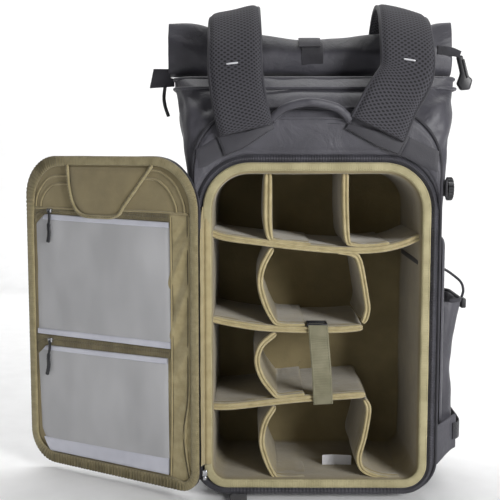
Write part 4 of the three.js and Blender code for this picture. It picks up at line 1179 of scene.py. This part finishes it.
TAB_OUTLINE = [(-197, 477), (-167, 479), (-167, 488.4), (-171.5, 489.4), (-171.5, 500), (-192, 500)]
tab = plate(TAB_OUTLINE, facing_back, 2.4, 0.7)
finish_piece(tab, "collar_tab_left", BLACK_WEBBING, ["side_tab_left"], sharp=50)
pull_path = smooth_path([(-178, -13.5, 479), (-179.5, -14, 466), (-178, -14, 455), (-174, -14, 443)], 24)
pull_section = round_section(2.2, 1.6, 12)
pull_piece = swept_piece("collar_pull_left", pull_path, pull_section, BLACK_ACETAL, ["side_pull_left"])

# Right end of the collar
# A webbing stub holds a side release buckle, closed, with its tongue inside the housing.

stub_rows = [
    (146, -23.3, 521, 10, 1.6, 84), (156, -21.6, 520.5, 10, 1.6, 84), (165, -19.7, 519, 10, 1.6, 80),
    (174, -20, 516, 8, 1.6, 70),
]
web_piece("collar_stub_right", stub_rows, 8, BLACK_WEBBING, ["side_webbing_right"])


def buckle_side(x, z, out):
    return Vector((x, -11 - out, z))


housing = plate(
    [(170, 514), (177, 516), (184, 492), (190, 487), (187, 475), (176, 474), (171, 482), (175, 494)],
    buckle_side, 7.9, 2.2, 4,
)
finish_piece(housing, "side_release_housing", BLACK_ACETAL, ["side_buckle_right"], sharp=50)
prong = plate([(176, 510), (179, 511), (185, 490), (182, 488)], buckle_side, 9.2, 0.9)
finish_piece(prong, "side_release_prong", BLACK_ACETAL, sharp=50)

# Round buckle on the right flank
# A ribbed plastic disc on a short webbing tab sewn into the side seam.

DIAL = {"x": 150.2, "y": -74, "z": 359, "radius": 13.5, "deep": 7}
dial = bmesh.new()
bmesh.ops.create_circle(dial, cap_ends=True, segments=72, radius=DIAL["radius"])
for vertex in dial.verts:
    turn = math.atan2(vertex.co.y, vertex.co.x)
    vertex.co *= 1 - 0.035 * (1 + math.cos(18 * turn))
disc = list(dial.faces)
for rise, grow in ((1.0, 1.0), (4.6, 1.0), (0.9, 0.9), (-1.4, 0.62), (0.4, 0.9)):
    made = bmesh.ops.extrude_face_region(dial, geom=disc)["geom"]
    bmesh.ops.delete(dial, geom=disc, context="FACES_ONLY")
    disc = [item for item in made if isinstance(item, bmesh.types.BMFace)]
    top = [item for item in made if isinstance(item, bmesh.types.BMVert)]
    bmesh.ops.translate(dial, verts=top, vec=(0, 0, rise))
    bmesh.ops.scale(dial, verts=top, vec=(grow, grow, 1))
for vertex in dial.verts:
    a, b, out = vertex.co
    vertex.co = Vector((DIAL["x"] + out, DIAL["y"] + a, DIAL["z"] + b))
bmesh.ops.holes_fill(dial, edges=[e for e in dial.edges if e.is_boundary], sides=0)
bmesh.ops.recalc_face_normals(dial, faces=dial.faces)
finish_piece(dial, "ribbed_disc", BLACK_ACETAL, ["dial_buckle_right"], sharp=35)
tab_rows = [(x, y, 359.5, 19, 1.8, 90) for x, y in ((146.5, -90), (148.6, -84), (149.1, -74), (148.8, -62))]
web_piece("disc_tab", tab_rows, 6, BLACK_WEBBING, ["dial_tab_right"])

# Right flank: padded strip, open pocket, elastic and cord lock
# The strip is foam under nylon with a stitched channel round it. The pocket is a full nylon pouch with a
# bound mouth, and a thin elastic comes down from the side seam to a lock on the mouth.

FLANK_X = 146.6
ACROSS_FLANK = Vector((1, 0, 0))


def on_flank(y, z, out):
    return Vector((FLANK_X + out, y, z))


strip = outline(-75.5, -48, 74, 304, [13, 13, 13, 13], 6, (4, 24, 4, 24))
strip = dense_plate(strip, on_flank, 1.4, 3.5, crown=3.6, edge=3.2)
strip_piece = finish_piece(
    strip, "flank_strip", COATED_NYLON, ["side_panel_right"], subdivide=1, thickness=1.2
)
rim = [on_flank(y, z, 2.2) for y, z in outline(-72.5, -51, 77, 301, [10, 10, 10, 10], 8, (4, 40, 4, 40))]
rim_section = round_section(0.7, 0.6, 8)
swept_piece("flank_strip_seam", rim, rim_section, SEAM_TAPE, facing=ACROSS_FLANK, closed=True)

POCKET_ROWS = [
    # z, reach from the flank, back y, front y
    (38, 12, -30, 44), (44, 22, -38, 52), (90, 24, -42, 56), (150, 22, -42, 56), (185, 26, -42, 56),
    (222, 33, -40, 54),
]


def pocket_ring(z, reach, back, front):
    soft = min(reach - 4, 16)
    points = outline(0.4, reach, back, front, [1, soft, soft, 1], 6, (6, 16, 6, 16))
    return [Vector((FLANK_X + x, y, z)) for x, y in points]


rings = [pocket_ring(*row_at(POCKET_ROWS, j / 40)) for j in range(41)]
pouch = wrap_grid(rings)
bottom_edges = [e for e in pouch.edges if e.is_boundary and e.verts[0].co.z < 60]
bmesh.ops.holes_fill(pouch, edges=bottom_edges, sides=0)
bmesh.ops.recalc_face_normals(pouch, faces=pouch.faces)
crease(pouch, [
    ((172, -36, 214), (168, -44, 120), 5, 2.2), ((176, -20, 60), (172, 20, 100), 8, 2.4),
    ((180, 40, 205), (170, 10, 160), 7, 2.4), ((172, -10, 180), (171, 30, 130), 6, 2),
])
rumple(pouch, 26, 1.8, lambda p: unit((p.x - FLANK_X - 3) / 8))
finish_piece(
    pouch, "flank_pouch", COATED_NYLON, ["side_pocket_right"], subdivide=1, thickness=1.4
)
mouth = [point + Vector((0.2, 0, 1.2)) for point in pocket_ring(222, 33, -40, 54)]
mouth_section = round_section(2.6, 1.5, 10)
swept_piece("pouch_mouth_binding", mouth, mouth_section, SEAM_TAPE, facing=ACROSS_FLANK, closed=True)
elastic_places = ((182, 224.4), (184, 233), (181, 243), (171, 252), (160, 259), (146.8, 262.8))
elastic_path = smooth_path([(x, -20, z) for x, z in elastic_places], 40)
elastic_piece = swept_piece(
    "mouth_elastic", elastic_path, round_section(1.7, 1.7, 10), SEAM_TAPE, ["pocket_cord_loop"],
    facing=Vector((0, -1, 0)),
)


def on_lock(y, z, out):
    return Vector((179.9 + out, y, z))


lock = plate([(-27, 212), (-13, 212), (-13, 224), (-27, 224)], on_lock, 6.7, 2, 4)
finish_piece(lock, "cord_lock_body", BLACK_ACETAL, ["pocket_cord_lock"], sharp=50)

# Base tab: a folded webbing tongue that sticks out under the back edge
tab_rows = [(-89, y, z, 20, 1.8, 0) for y, z in ((-84.5, 1.3), (-96, 1.25), (-112, 1.2))]
web_piece("base_tongue", tab_rows, 6, BLACK_WEBBING, ["base_tab"])

# Door
# A padded panel, nylon outside and khaki lining inside, swung open on a cloth hinge down the left side
# of the bag. Places on it are u from the hinge edge, z, and how far they lie in front of the lining.

DOOR = {"width": 260, "low": 8, "high": 396, "hinge": (-133, -107.5), "fold": 31}
DOOR_RADII = [26, 40, 50, 62]
fold = math.radians(DOOR["fold"])
DOOR_ACROSS = Vector((-math.cos(fold), math.sin(fold), 0))
DOOR_FRONT = Vector((-math.sin(fold), -math.cos(fold), 0))


def on_door(u, z, out):
    return Vector((*DOOR["hinge"], z)) + DOOR_ACROSS * u + DOOR_FRONT * out


def door_outline(inset, corner=10, sides=(24, 34, 16, 34)):
    radii = [max(radius - inset, 2) for radius in DOOR_RADII]
    low, high = DOOR["low"] + inset, DOOR["high"] - inset
    return outline(inset, DOOR["width"] - inset, low, high, radii, corner, sides)


def tint(mesh, amount):
    """Stores amount(u, z) of each point of a door mesh for the second tone of its material."""
    layer = mesh.verts.layers.float.new("edge")
    for vertex in mesh.verts:
        u = (vertex.co - on_door(0, vertex.co.z, 0)).dot(DOOR_ACROSS)
        vertex[layer] = unit(amount(u, vertex.co.z))
    return mesh


DOOR_SHELL_RINGS = [
    # edge inset, depth behind the lining
    (0.5, 2.9), (0, 4), (0, 6), (0.6, 9), (2, 12), (5, 14.6), (9, 16.4), (16, 17.6), (28, 18.2), (46, 18.4),
    (70, 18.6), (96, 18.6), (118, 18.6),
]
rings = []
for inset, depth in DOOR_SHELL_RINGS:
    ring = []
    for u, z in door_outline(inset):
        full = unit((u - 8) / 38)
        share = 0.12 + 0.88 * full * full * (3 - 2 * full)
        ring.append(on_door(u, z, -(2.9 + (depth - 2.9) * share)))
    rings.append(ring)
outside = wrap_grid(rings, capped=True)
rumple(outside, 60, 1.0)
outside_piece = finish_piece(outside, "door_outside", COATED_NYLON, ["door_shell"], subdivide=1)

# Door lining: smooth where the pockets lie on it, drawn into slanting wrinkles beside the hinge and painted
# paler there as painted light
LINING_INSETS = [2, 3, 6, 9, 12, 15, 18, 21, 24, 27, 30, 33, 36, 40, 46, 56, 70, 88, 106, 122]
sides = (40, 100, 30, 100)
rings = [[on_door(u, z, -2.4) for u, z in door_outline(2, 10, sides)]]
for inset in LINING_INSETS:
    out = -1.5 * max(0, 1 - (inset - 2) / 5)
    rings.append([on_door(u, z, out) for u, z in door_outline(inset, 10, sides)])
lining = wrap_grid(rings, capped=True)
HINGE_WRINKLES = [
    # z of the upper end, length down, half width, depth
    (322, 30, 3.0, 1.4), (300, 52, 3.6, -1.5), (276, 58, 4.4, 1.8), (246, 60, 3.6, -1.4), (214, 52, 4.2, 1.6),
    (176, 46, 3.4, -1.1), (132, 40, 4.0, 1.1), (84, 36, 3.6, -0.9),
]
wrinkles = []
for z, drop, half, depth in HINGE_WRINKLES:
    wrinkles.append((tuple(on_door(15, z, 0)), tuple(on_door(41, z - drop, 0)), half, depth))
crease(lining, wrinkles)
# Painted light: the strip beside the hinge takes the paler tone, and the head of the door a little of it.
tint(lining, lambda u, z: min((u - 10) / 4, (46 - u) / 4) if z < 331 else 0.15)
lining_piece = finish_piece(lining, "door_lining_cloth", KHAKI_LINING, ["door_lining"], subdivide=1)


def raised_line(name, places, width, height, material, count=40, out=0.2, pale=0.0):
    """A narrow sewn line on the door through a few places of u and z."""
    path = [on_door(u, z, out) for u, z in smooth_path(places, count)]
    line = wrap_grid(sweep(path, round_section(width / 2, height, 8), DOOR_FRONT), capped=True)
    finish_piece(tint(line, lambda u, z: pale), name, material, subdivide=1)


# Gathered edging of the door
# Stretch tape folded over the door's edge. It is drawn in round the free corners and along the bottom,
# where it puckers, and it lies smooth on the straight sides. Its tone is painted shade and light: darker
# where it puckers and towards its inner edge, lighter and darker by turns over each ruffle, paler where
# it lies smooth.

# Knitted stretch tape: olive and matt, close-ribbed. On the door edging its paler tone is painted light
# where the tape lies flat, and its darker tone painted shade where it puckers.
OLIVE_TAPE = ribbed_tape("olive_stretch_tape", "#544b31", "#6d6345", 0.8, 2.0, 0.4, 0.3)
second_tone(OLIVE_TAPE, "#8f8460", "#9f9470")
path = door_outline(0.3, 34, (130, 120, 90, 120))
rings = []
shades = []
phase = 0
for i, (u, z) in enumerate(path):
    before, after = Vector(path[i - 1]), Vector(path[(i + 1) % len(path)])
    along = (after - before).normalized()
    outward = Vector((along.y, -along.x))
    phase += (after - before).length / 2 * 2 * math.pi / (4.6 + 1.4 * noise.noise(Vector((u / 9, z / 9, 0))))
    free_corner = math.exp(-(((u - 244) / 42) ** 2) - ((z - 376) / 46) ** 2)
    bottom = math.exp(-(((z - 10) / 12) ** 2)) * unit((u - 16) / 20)
    low_corner = math.exp(-(((u - 30) / 16) ** 2) - ((z - 20) / 16) ** 2)
    ruffle = min(1, free_corner + 0.75 * bottom + 0.6 * low_corner + 0.12)
    wide = 5.4 + 2.6 * free_corner + 1.3 * bottom
    ring = []
    shade = []
    for a, b in round_section(wide, 2.0, 24, (-wide + 0.4, 2.2), 2.6):
        inner = unit(-a / (2 * wide))
        wave = ruffle * math.sin(phase) * math.sin(math.pi * min(1, 0.25 + inner * 0.8))
        place = Vector((u, z)) + outward * a
        ring.append(on_door(place.x, place.y, b + wave * 1.5 - 0.1))
        # Painted shade and light of the ruffles, the puckers and the tucked inner edge
        shade.append(0.92 - 0.55 * ruffle + 0.5 * wave - 0.6 * max(0, inner - 0.72) / 0.28)
    rings.append(ring)
    shades.append(shade)
edging = wrap_grid(rings, looped=True)
layer = edging.verts.layers.float.new("edge")
for vertex, shade in zip(edging.verts, [value for row in shades for value in row]):
    vertex[layer] = unit(shade)
finish_piece(edging, "door_edging", OLIVE_TAPE, ["door_binding"])

# Seams of the lining: twin welts that follow the head corners, one along the pockets' head, two beside
# the hinge
WELTS = {
    "corner_welt_hinge_outer": [(19, 331), (21, 344), (32, 364), (52, 378), (72, 380)],
    "corner_welt_hinge_inner": [(30, 331), (32, 342), (42, 358), (58, 369), (80, 370)],
    "corner_welt_free_outer": [(246, 333), (244, 345), (236, 358), (220, 370), (191, 372)],
    "corner_welt_free_inner": [(238, 333), (236, 342), (228, 353), (214, 361), (188, 362)],
    "pocket_head_welt": [(14, 331.5), (60, 332.2), (130, 332), (200, 331.6), (250, 330.6)],
    "hinge_strip_welt": [(39, 329), (38.5, 250), (38.5, 170), (39, 90), (41, 22)],
}
# Each welt is painted paler, a painted highlight, and the thin dark olive line beside it is painted shade.
for name, places in WELTS.items():
    raised_line(name, places, 3.0, 1.3, KHAKI_LINING, pale=0.5)
    shadow = [(u - 1.9, z - 0.6) for u, z in places]
    raised_line(f"{name}_groove", shadow, 1.0, 0.5, OLIVE_TAPE)
# The hinge fold likewise: painted paler as a painted highlight, with painted shade in a dark olive line
# beside it.
HINGE_FOLD = [(13, 330), (12.5, 250), (13, 180), (14, 120), (20, 80), (18, 50), (12, 22)]
raised_line("hinge_fold", HINGE_FOLD, 3.4, 1.8, KHAKI_LINING, 90, pale=0.8)
raised_line("hinge_fold_groove", [(u + 3, z) for u, z in HINGE_FOLD], 1.3, 0.5, OLIVE_TAPE, 90)

# Flap pocket at the head of the door, with piping along its free edge
FLAP = [
    (64, 383), (106, 336), (113, 328), (124, 325), (163, 325), (174, 329), (182, 339), (187, 356), (190, 383),
]
flap = dense_plate(FLAP, on_door, 2.6, 4, crown=1.5, edge=8)
rumple(flap, 34, 0.9)
flap_piece = finish_piece(flap, "flap_cloth", KHAKI_LINING, ["door_flap"], subdivide=1)
FLAP_EDGE = [
    (62, 386), (84, 361), (105, 337), (112, 328), (124, 324), (143, 323.6), (163, 324), (175, 328.4),
    (183.4, 339), (188.4, 356), (190, 370), (191, 386),
]
raised_line("flap_piping", FLAP_EDGE, 5, 2.0, OLIVE_TAPE, 100, out=2.8, pale=0.95)
flap_stitches = [on_door(u, z, 5.0) for u, z in smooth_path(FLAP_EDGE, 150)]
stitches("flap_stitches", flap_stitches, 2.4, 1.4, 0.3, OLIVE_TAPE)

# Film pockets
# Clear-matt film, milky grey, welded to white tape along its top and bottom and sewn to the lining.


def matt_film():
    """Matt film: a smooth milky sheet whose cloudy waves catch a soft gloss."""
    material = new_material("milky_matt_film", 0.45)
    slanted = add_node(
        material, "ShaderNodeMapping",
        {"Vector": object_place(material), "Rotation": (0, 0.5, 0), "Scale": (1, 1, 0.55)},
    ).outputs["Vector"]
    link_colour(material, mottled(material, slanted, 60, "#adadaf", "#bdbdbf", 2))
    link_relief(material, clouds(material, slanted, 60, Detail=1, Distortion=0.8), 0.3, 6)
    shader_of(material).inputs["Specular IOR Level"].default_value = 0.3
    return material


MATT_FILM = matt_film()
# White woven tape under the weld: cool, smooth and slightly glossy.
WHITE_TAPE = cloth_material("white_welded_tape", "#c0c1cc", "#cecfd9", 0.5, 0.1, 1.0, 0.15)
POCKETS = {
    "upper": [(39, 174), (246, 172), (246, 312), (233, 323), (222, 324), (40, 321)],
    "lower": [(43, 23), (229, 22), (244, 50), (247, 146), (233, 158), (44, 162.5)],
}
for name, corners in POCKETS.items():
    film = dense_plate(corners, on_door, 0.9, 5, crown=0.7, edge=12)
    rumple(film, 60, 0.8)
    film_piece = finish_piece(film, f"film_{name}", MATT_FILM, [f"pocket_{name}"], subdivide=1)


def door_ribbon(low_edge, high_edge, thickness, count=60, spans=3):
    """A flat strip on the door between two edges of the same number of places."""
    low, high = smooth_path(low_edge, count), smooth_path(high_edge, count)
    section = [(0, 0.3), (0.02, 1), *((k / spans, 1) for k in range(1, spans)), (0.98, 1), (1, 0.3)]
    rings = []
    for a, b in zip(low, high):
        rings.append([on_door(*a.lerp(b, share), thickness * height) for share, height in section])
    return wrap_grid(rings, closed=False)


FILM_TAPES = {
    # lower edge and upper edge in u and z
    "upper_head": ([(40, 314.5), (140, 315.8), (234, 317.2)], [(40, 321), (140, 322.6), (230, 324)]),
    "upper_foot": ([(39, 174), (140, 173), (246, 172)], [(39, 182), (140, 180.6), (246, 179)]),
    "lower_head": ([(44, 155.5), (140, 153.6), (238, 152)], [(44, 162.5), (140, 160.2), (233, 158)]),
    "lower_foot": ([(43, 23), (140, 22.5), (229, 22)], [(43, 43), (140, 41), (240, 39)]),
}
for name, (low_edge, high_edge) in FILM_TAPES.items():
    ribbon = door_ribbon(low_edge, high_edge, 2.5)
    finish_piece(ribbon, f"film_tape_{name}", WHITE_TAPE, subdivide=1)

# Zips of the pockets: olive tape with a covered coil, a bright slider and a moulded black pull
ZIP_BANDS = {
    "upper": ([(40, 321.6), (130, 323), (222, 324.8), (235, 323), (247, 313)],
              [(40, 330.5), (130, 331), (222, 330.4), (236, 329.8), (249, 329)]),
    "lower": ([(40, 163.2), (130, 161), (222, 158.8), (235, 156.5), (248, 147)],
              [(40, 173.2), (130, 172.6), (222, 171.8), (236, 171.5), (249, 171.2)]),
}
for name, (low_edge, high_edge) in ZIP_BANDS.items():
    band = tint(door_ribbon(low_edge, high_edge, 1.3), lambda u, z: 0.12)
    finish_piece(band, f"zip_tape_{name}", OLIVE_TAPE, [f"zip_band_{name}"], subdivide=1)
    coil = [((a[0] + b[0]) / 2, (a[1] + b[1]) / 2 + 1) for a, b in zip(low_edge, high_edge)]
    raised_line(f"zip_coil_{name}", coil, 2.2, 0.8, OLIVE_TAPE, 80, out=1.3)

PULLS = {
    "upper": [(221, 329), (220.5, 319), (222, 309), (221.5, 300), (223.5, 289)],
    "lower": [(224, 166), (224.5, 156), (227, 144), (227, 133), (230, 121)],
}
# Nickel-plated zinc: bright, with soft clouded reflections.
BRIGHT_METAL = new_material("nickel_plated_zinc", 0.24, metallic=1)
link_colour(BRIGHT_METAL, mottled(BRIGHT_METAL, object_place(BRIGHT_METAL), 4, "#b4b6bb", "#d0d1d6"))
for name, places in PULLS.items():
    u, z = places[0]
    body = plate([(u - 3.2, z - 3), (u + 3.2, z - 3), (u + 4, z + 2.5), (u - 4, z + 2.5)], on_door, 5.2, 1.2)
    finish_piece(body, f"zip_slider_{name}", BRIGHT_METAL, sharp=50)
    path = [on_door(u, z, 4.6) for u, z in smooth_path(places, 40)]
    rings = []
    for i, ring in enumerate(sweep(path, round_section(1, 1, 12), DOOR_FRONT)):
        share = i / 40
        wide = 2.4 if share < 0.12 else 1.5 if share < 0.42 else 2.7
        wide *= 1 - 0.14 * (share > 0.45 and i % 3 == 0)
        across = (ring[0] - path[i]).normalized()
        section = round_section(wide, 1.5, 12, power=2.6)
        rings.append([path[i] + across * a + DOOR_FRONT * b for a, b in section])
    pull = wrap_grid(rings, capped=True)
    finish_piece(pull, f"moulded_pull_{name}", BLACK_ACETAL, [f"zip_pull_{name}"], subdivide=1)

# Cloth hinge
# A folded strip of lining joins the light edging to the door. Below it the end of the door's zip tape
# shows, with the bright slider parked at its foot.

GUSSET_ROWS = [(-120.5, -97.6), (-125, -99.2), (-128, -97.7), (-130.2, -101.8), (-131.8, -106.3)]
GUSSET_END = (-127.5, -95)
profile = smooth_path(GUSSET_ROWS, 18)
rings = []
for z in range(40, 341, 5):
    narrow = unit((z - 300) / 40) ** 2
    end = Vector((*GUSSET_END, z))
    rings.append([Vector((x, y - 0.5 + 4 * narrow, z)).lerp(end, 0.6 * narrow) for x, y in profile])
gusset = wrap_grid(rings, closed=False)
rumple(gusset, 18, 0.8)
# Painted light: the hinge cloth takes much of the lining's paler tone.
tint(gusset, lambda u, z: 0.6)
gusset_piece = finish_piece(
    gusset, "hinge_cloth", KHAKI_LINING, ["hinge_gusset"], subdivide=1, thickness=0.9, offset=0
)
slider = bar_set([((-128, -102.4, 31.5), (6.4, 4.8, 8)), ((-128, -102.4, 25.5), (4.6, 4.8, 5))], 1.5)
finish_piece(slider, "hinge_zip_slider", BRIGHT_METAL, ["hinge_slider"], sharp=50)

# Studio
# Pale seamless paper, one large soft light high on the right, a weaker one on the left and a soft top
# light. The camera stands where the photographer stood, level with the collar and looking slightly down.

# Seamless paper: white, flat and without a weave.
PAPER = cloth_material("studio_paper", "#f4f4f4", "#f8f8f8", 0.9, 0.0, 1.0, 0.0)
sweep_rows = [(0, -3000, 0), (0, 900, 0), (0, 1500, 60), (0, 1900, 500), (0, 2000, 1400), (0, 2000, 3600)]
edge_line = smooth_path(sweep_rows, 40)
paper = wrap_grid([[Vector((x, p.y, p.z)) for x in (-4000, 0, 4000)] for p in edge_line], closed=False)
floor = finish_piece(paper, "paper_sweep", PAPER)
floor.parent = None
del floor["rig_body"], floor["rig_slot"]


def soft_light(name, place, aim, size, power):
    lamp = bpy.data.lights.new(name, "AREA")
    lamp.shape = "RECTANGLE"
    lamp.size, lamp.size_y = size
    lamp.energy = power
    holder = bpy.data.objects.new(name, lamp)
    holder.location = Vector(place)
    holder.rotation_euler = (Vector(aim) - Vector(place)).to_track_quat("-Z", "Y").to_euler()
    scene.collection.objects.link(holder)


soft_light("key_light", (1.3, -1.7, 0.8), (0, 0, 0.28), (0.8, 0.8), 44)
soft_light("fill_light", (-0.9, -2.2, 0.6), (-0.1, 0, 0.28), (1.2, 1.0), 3)
soft_light("top_light", (0, 0.1, 2.2), (0, 0, 0.3), (1.6, 1.4), 2)
soft_light("paper_light", (0, 0.7, 2.6), (0, 1.9, 0.6), (3.2, 0.8), 60)
world = bpy.data.worlds.new("studio_air")
world.use_nodes = True
world.node_tree.nodes["Background"].inputs["Color"].default_value = (1, 1, 1, 1)
world.node_tree.nodes["Background"].inputs["Strength"].default_value = 0.13
scene.world = world
scene.view_settings.view_transform = "Standard"

CAMERA_PLACE = (-0.070, -1.175, 0.4057)
CAMERA_TURN = (83.9, 0, 0.3)
LENS = 68.8
lens = bpy.data.cameras.new("camera")
lens.lens = LENS
lens.sensor_width = 36
camera = bpy.data.objects.new("camera", lens)
camera.location = CAMERA_PLACE
camera.rotation_euler = [math.radians(a) for a in CAMERA_TURN]
scene.collection.objects.link(camera)
scene.camera = camera
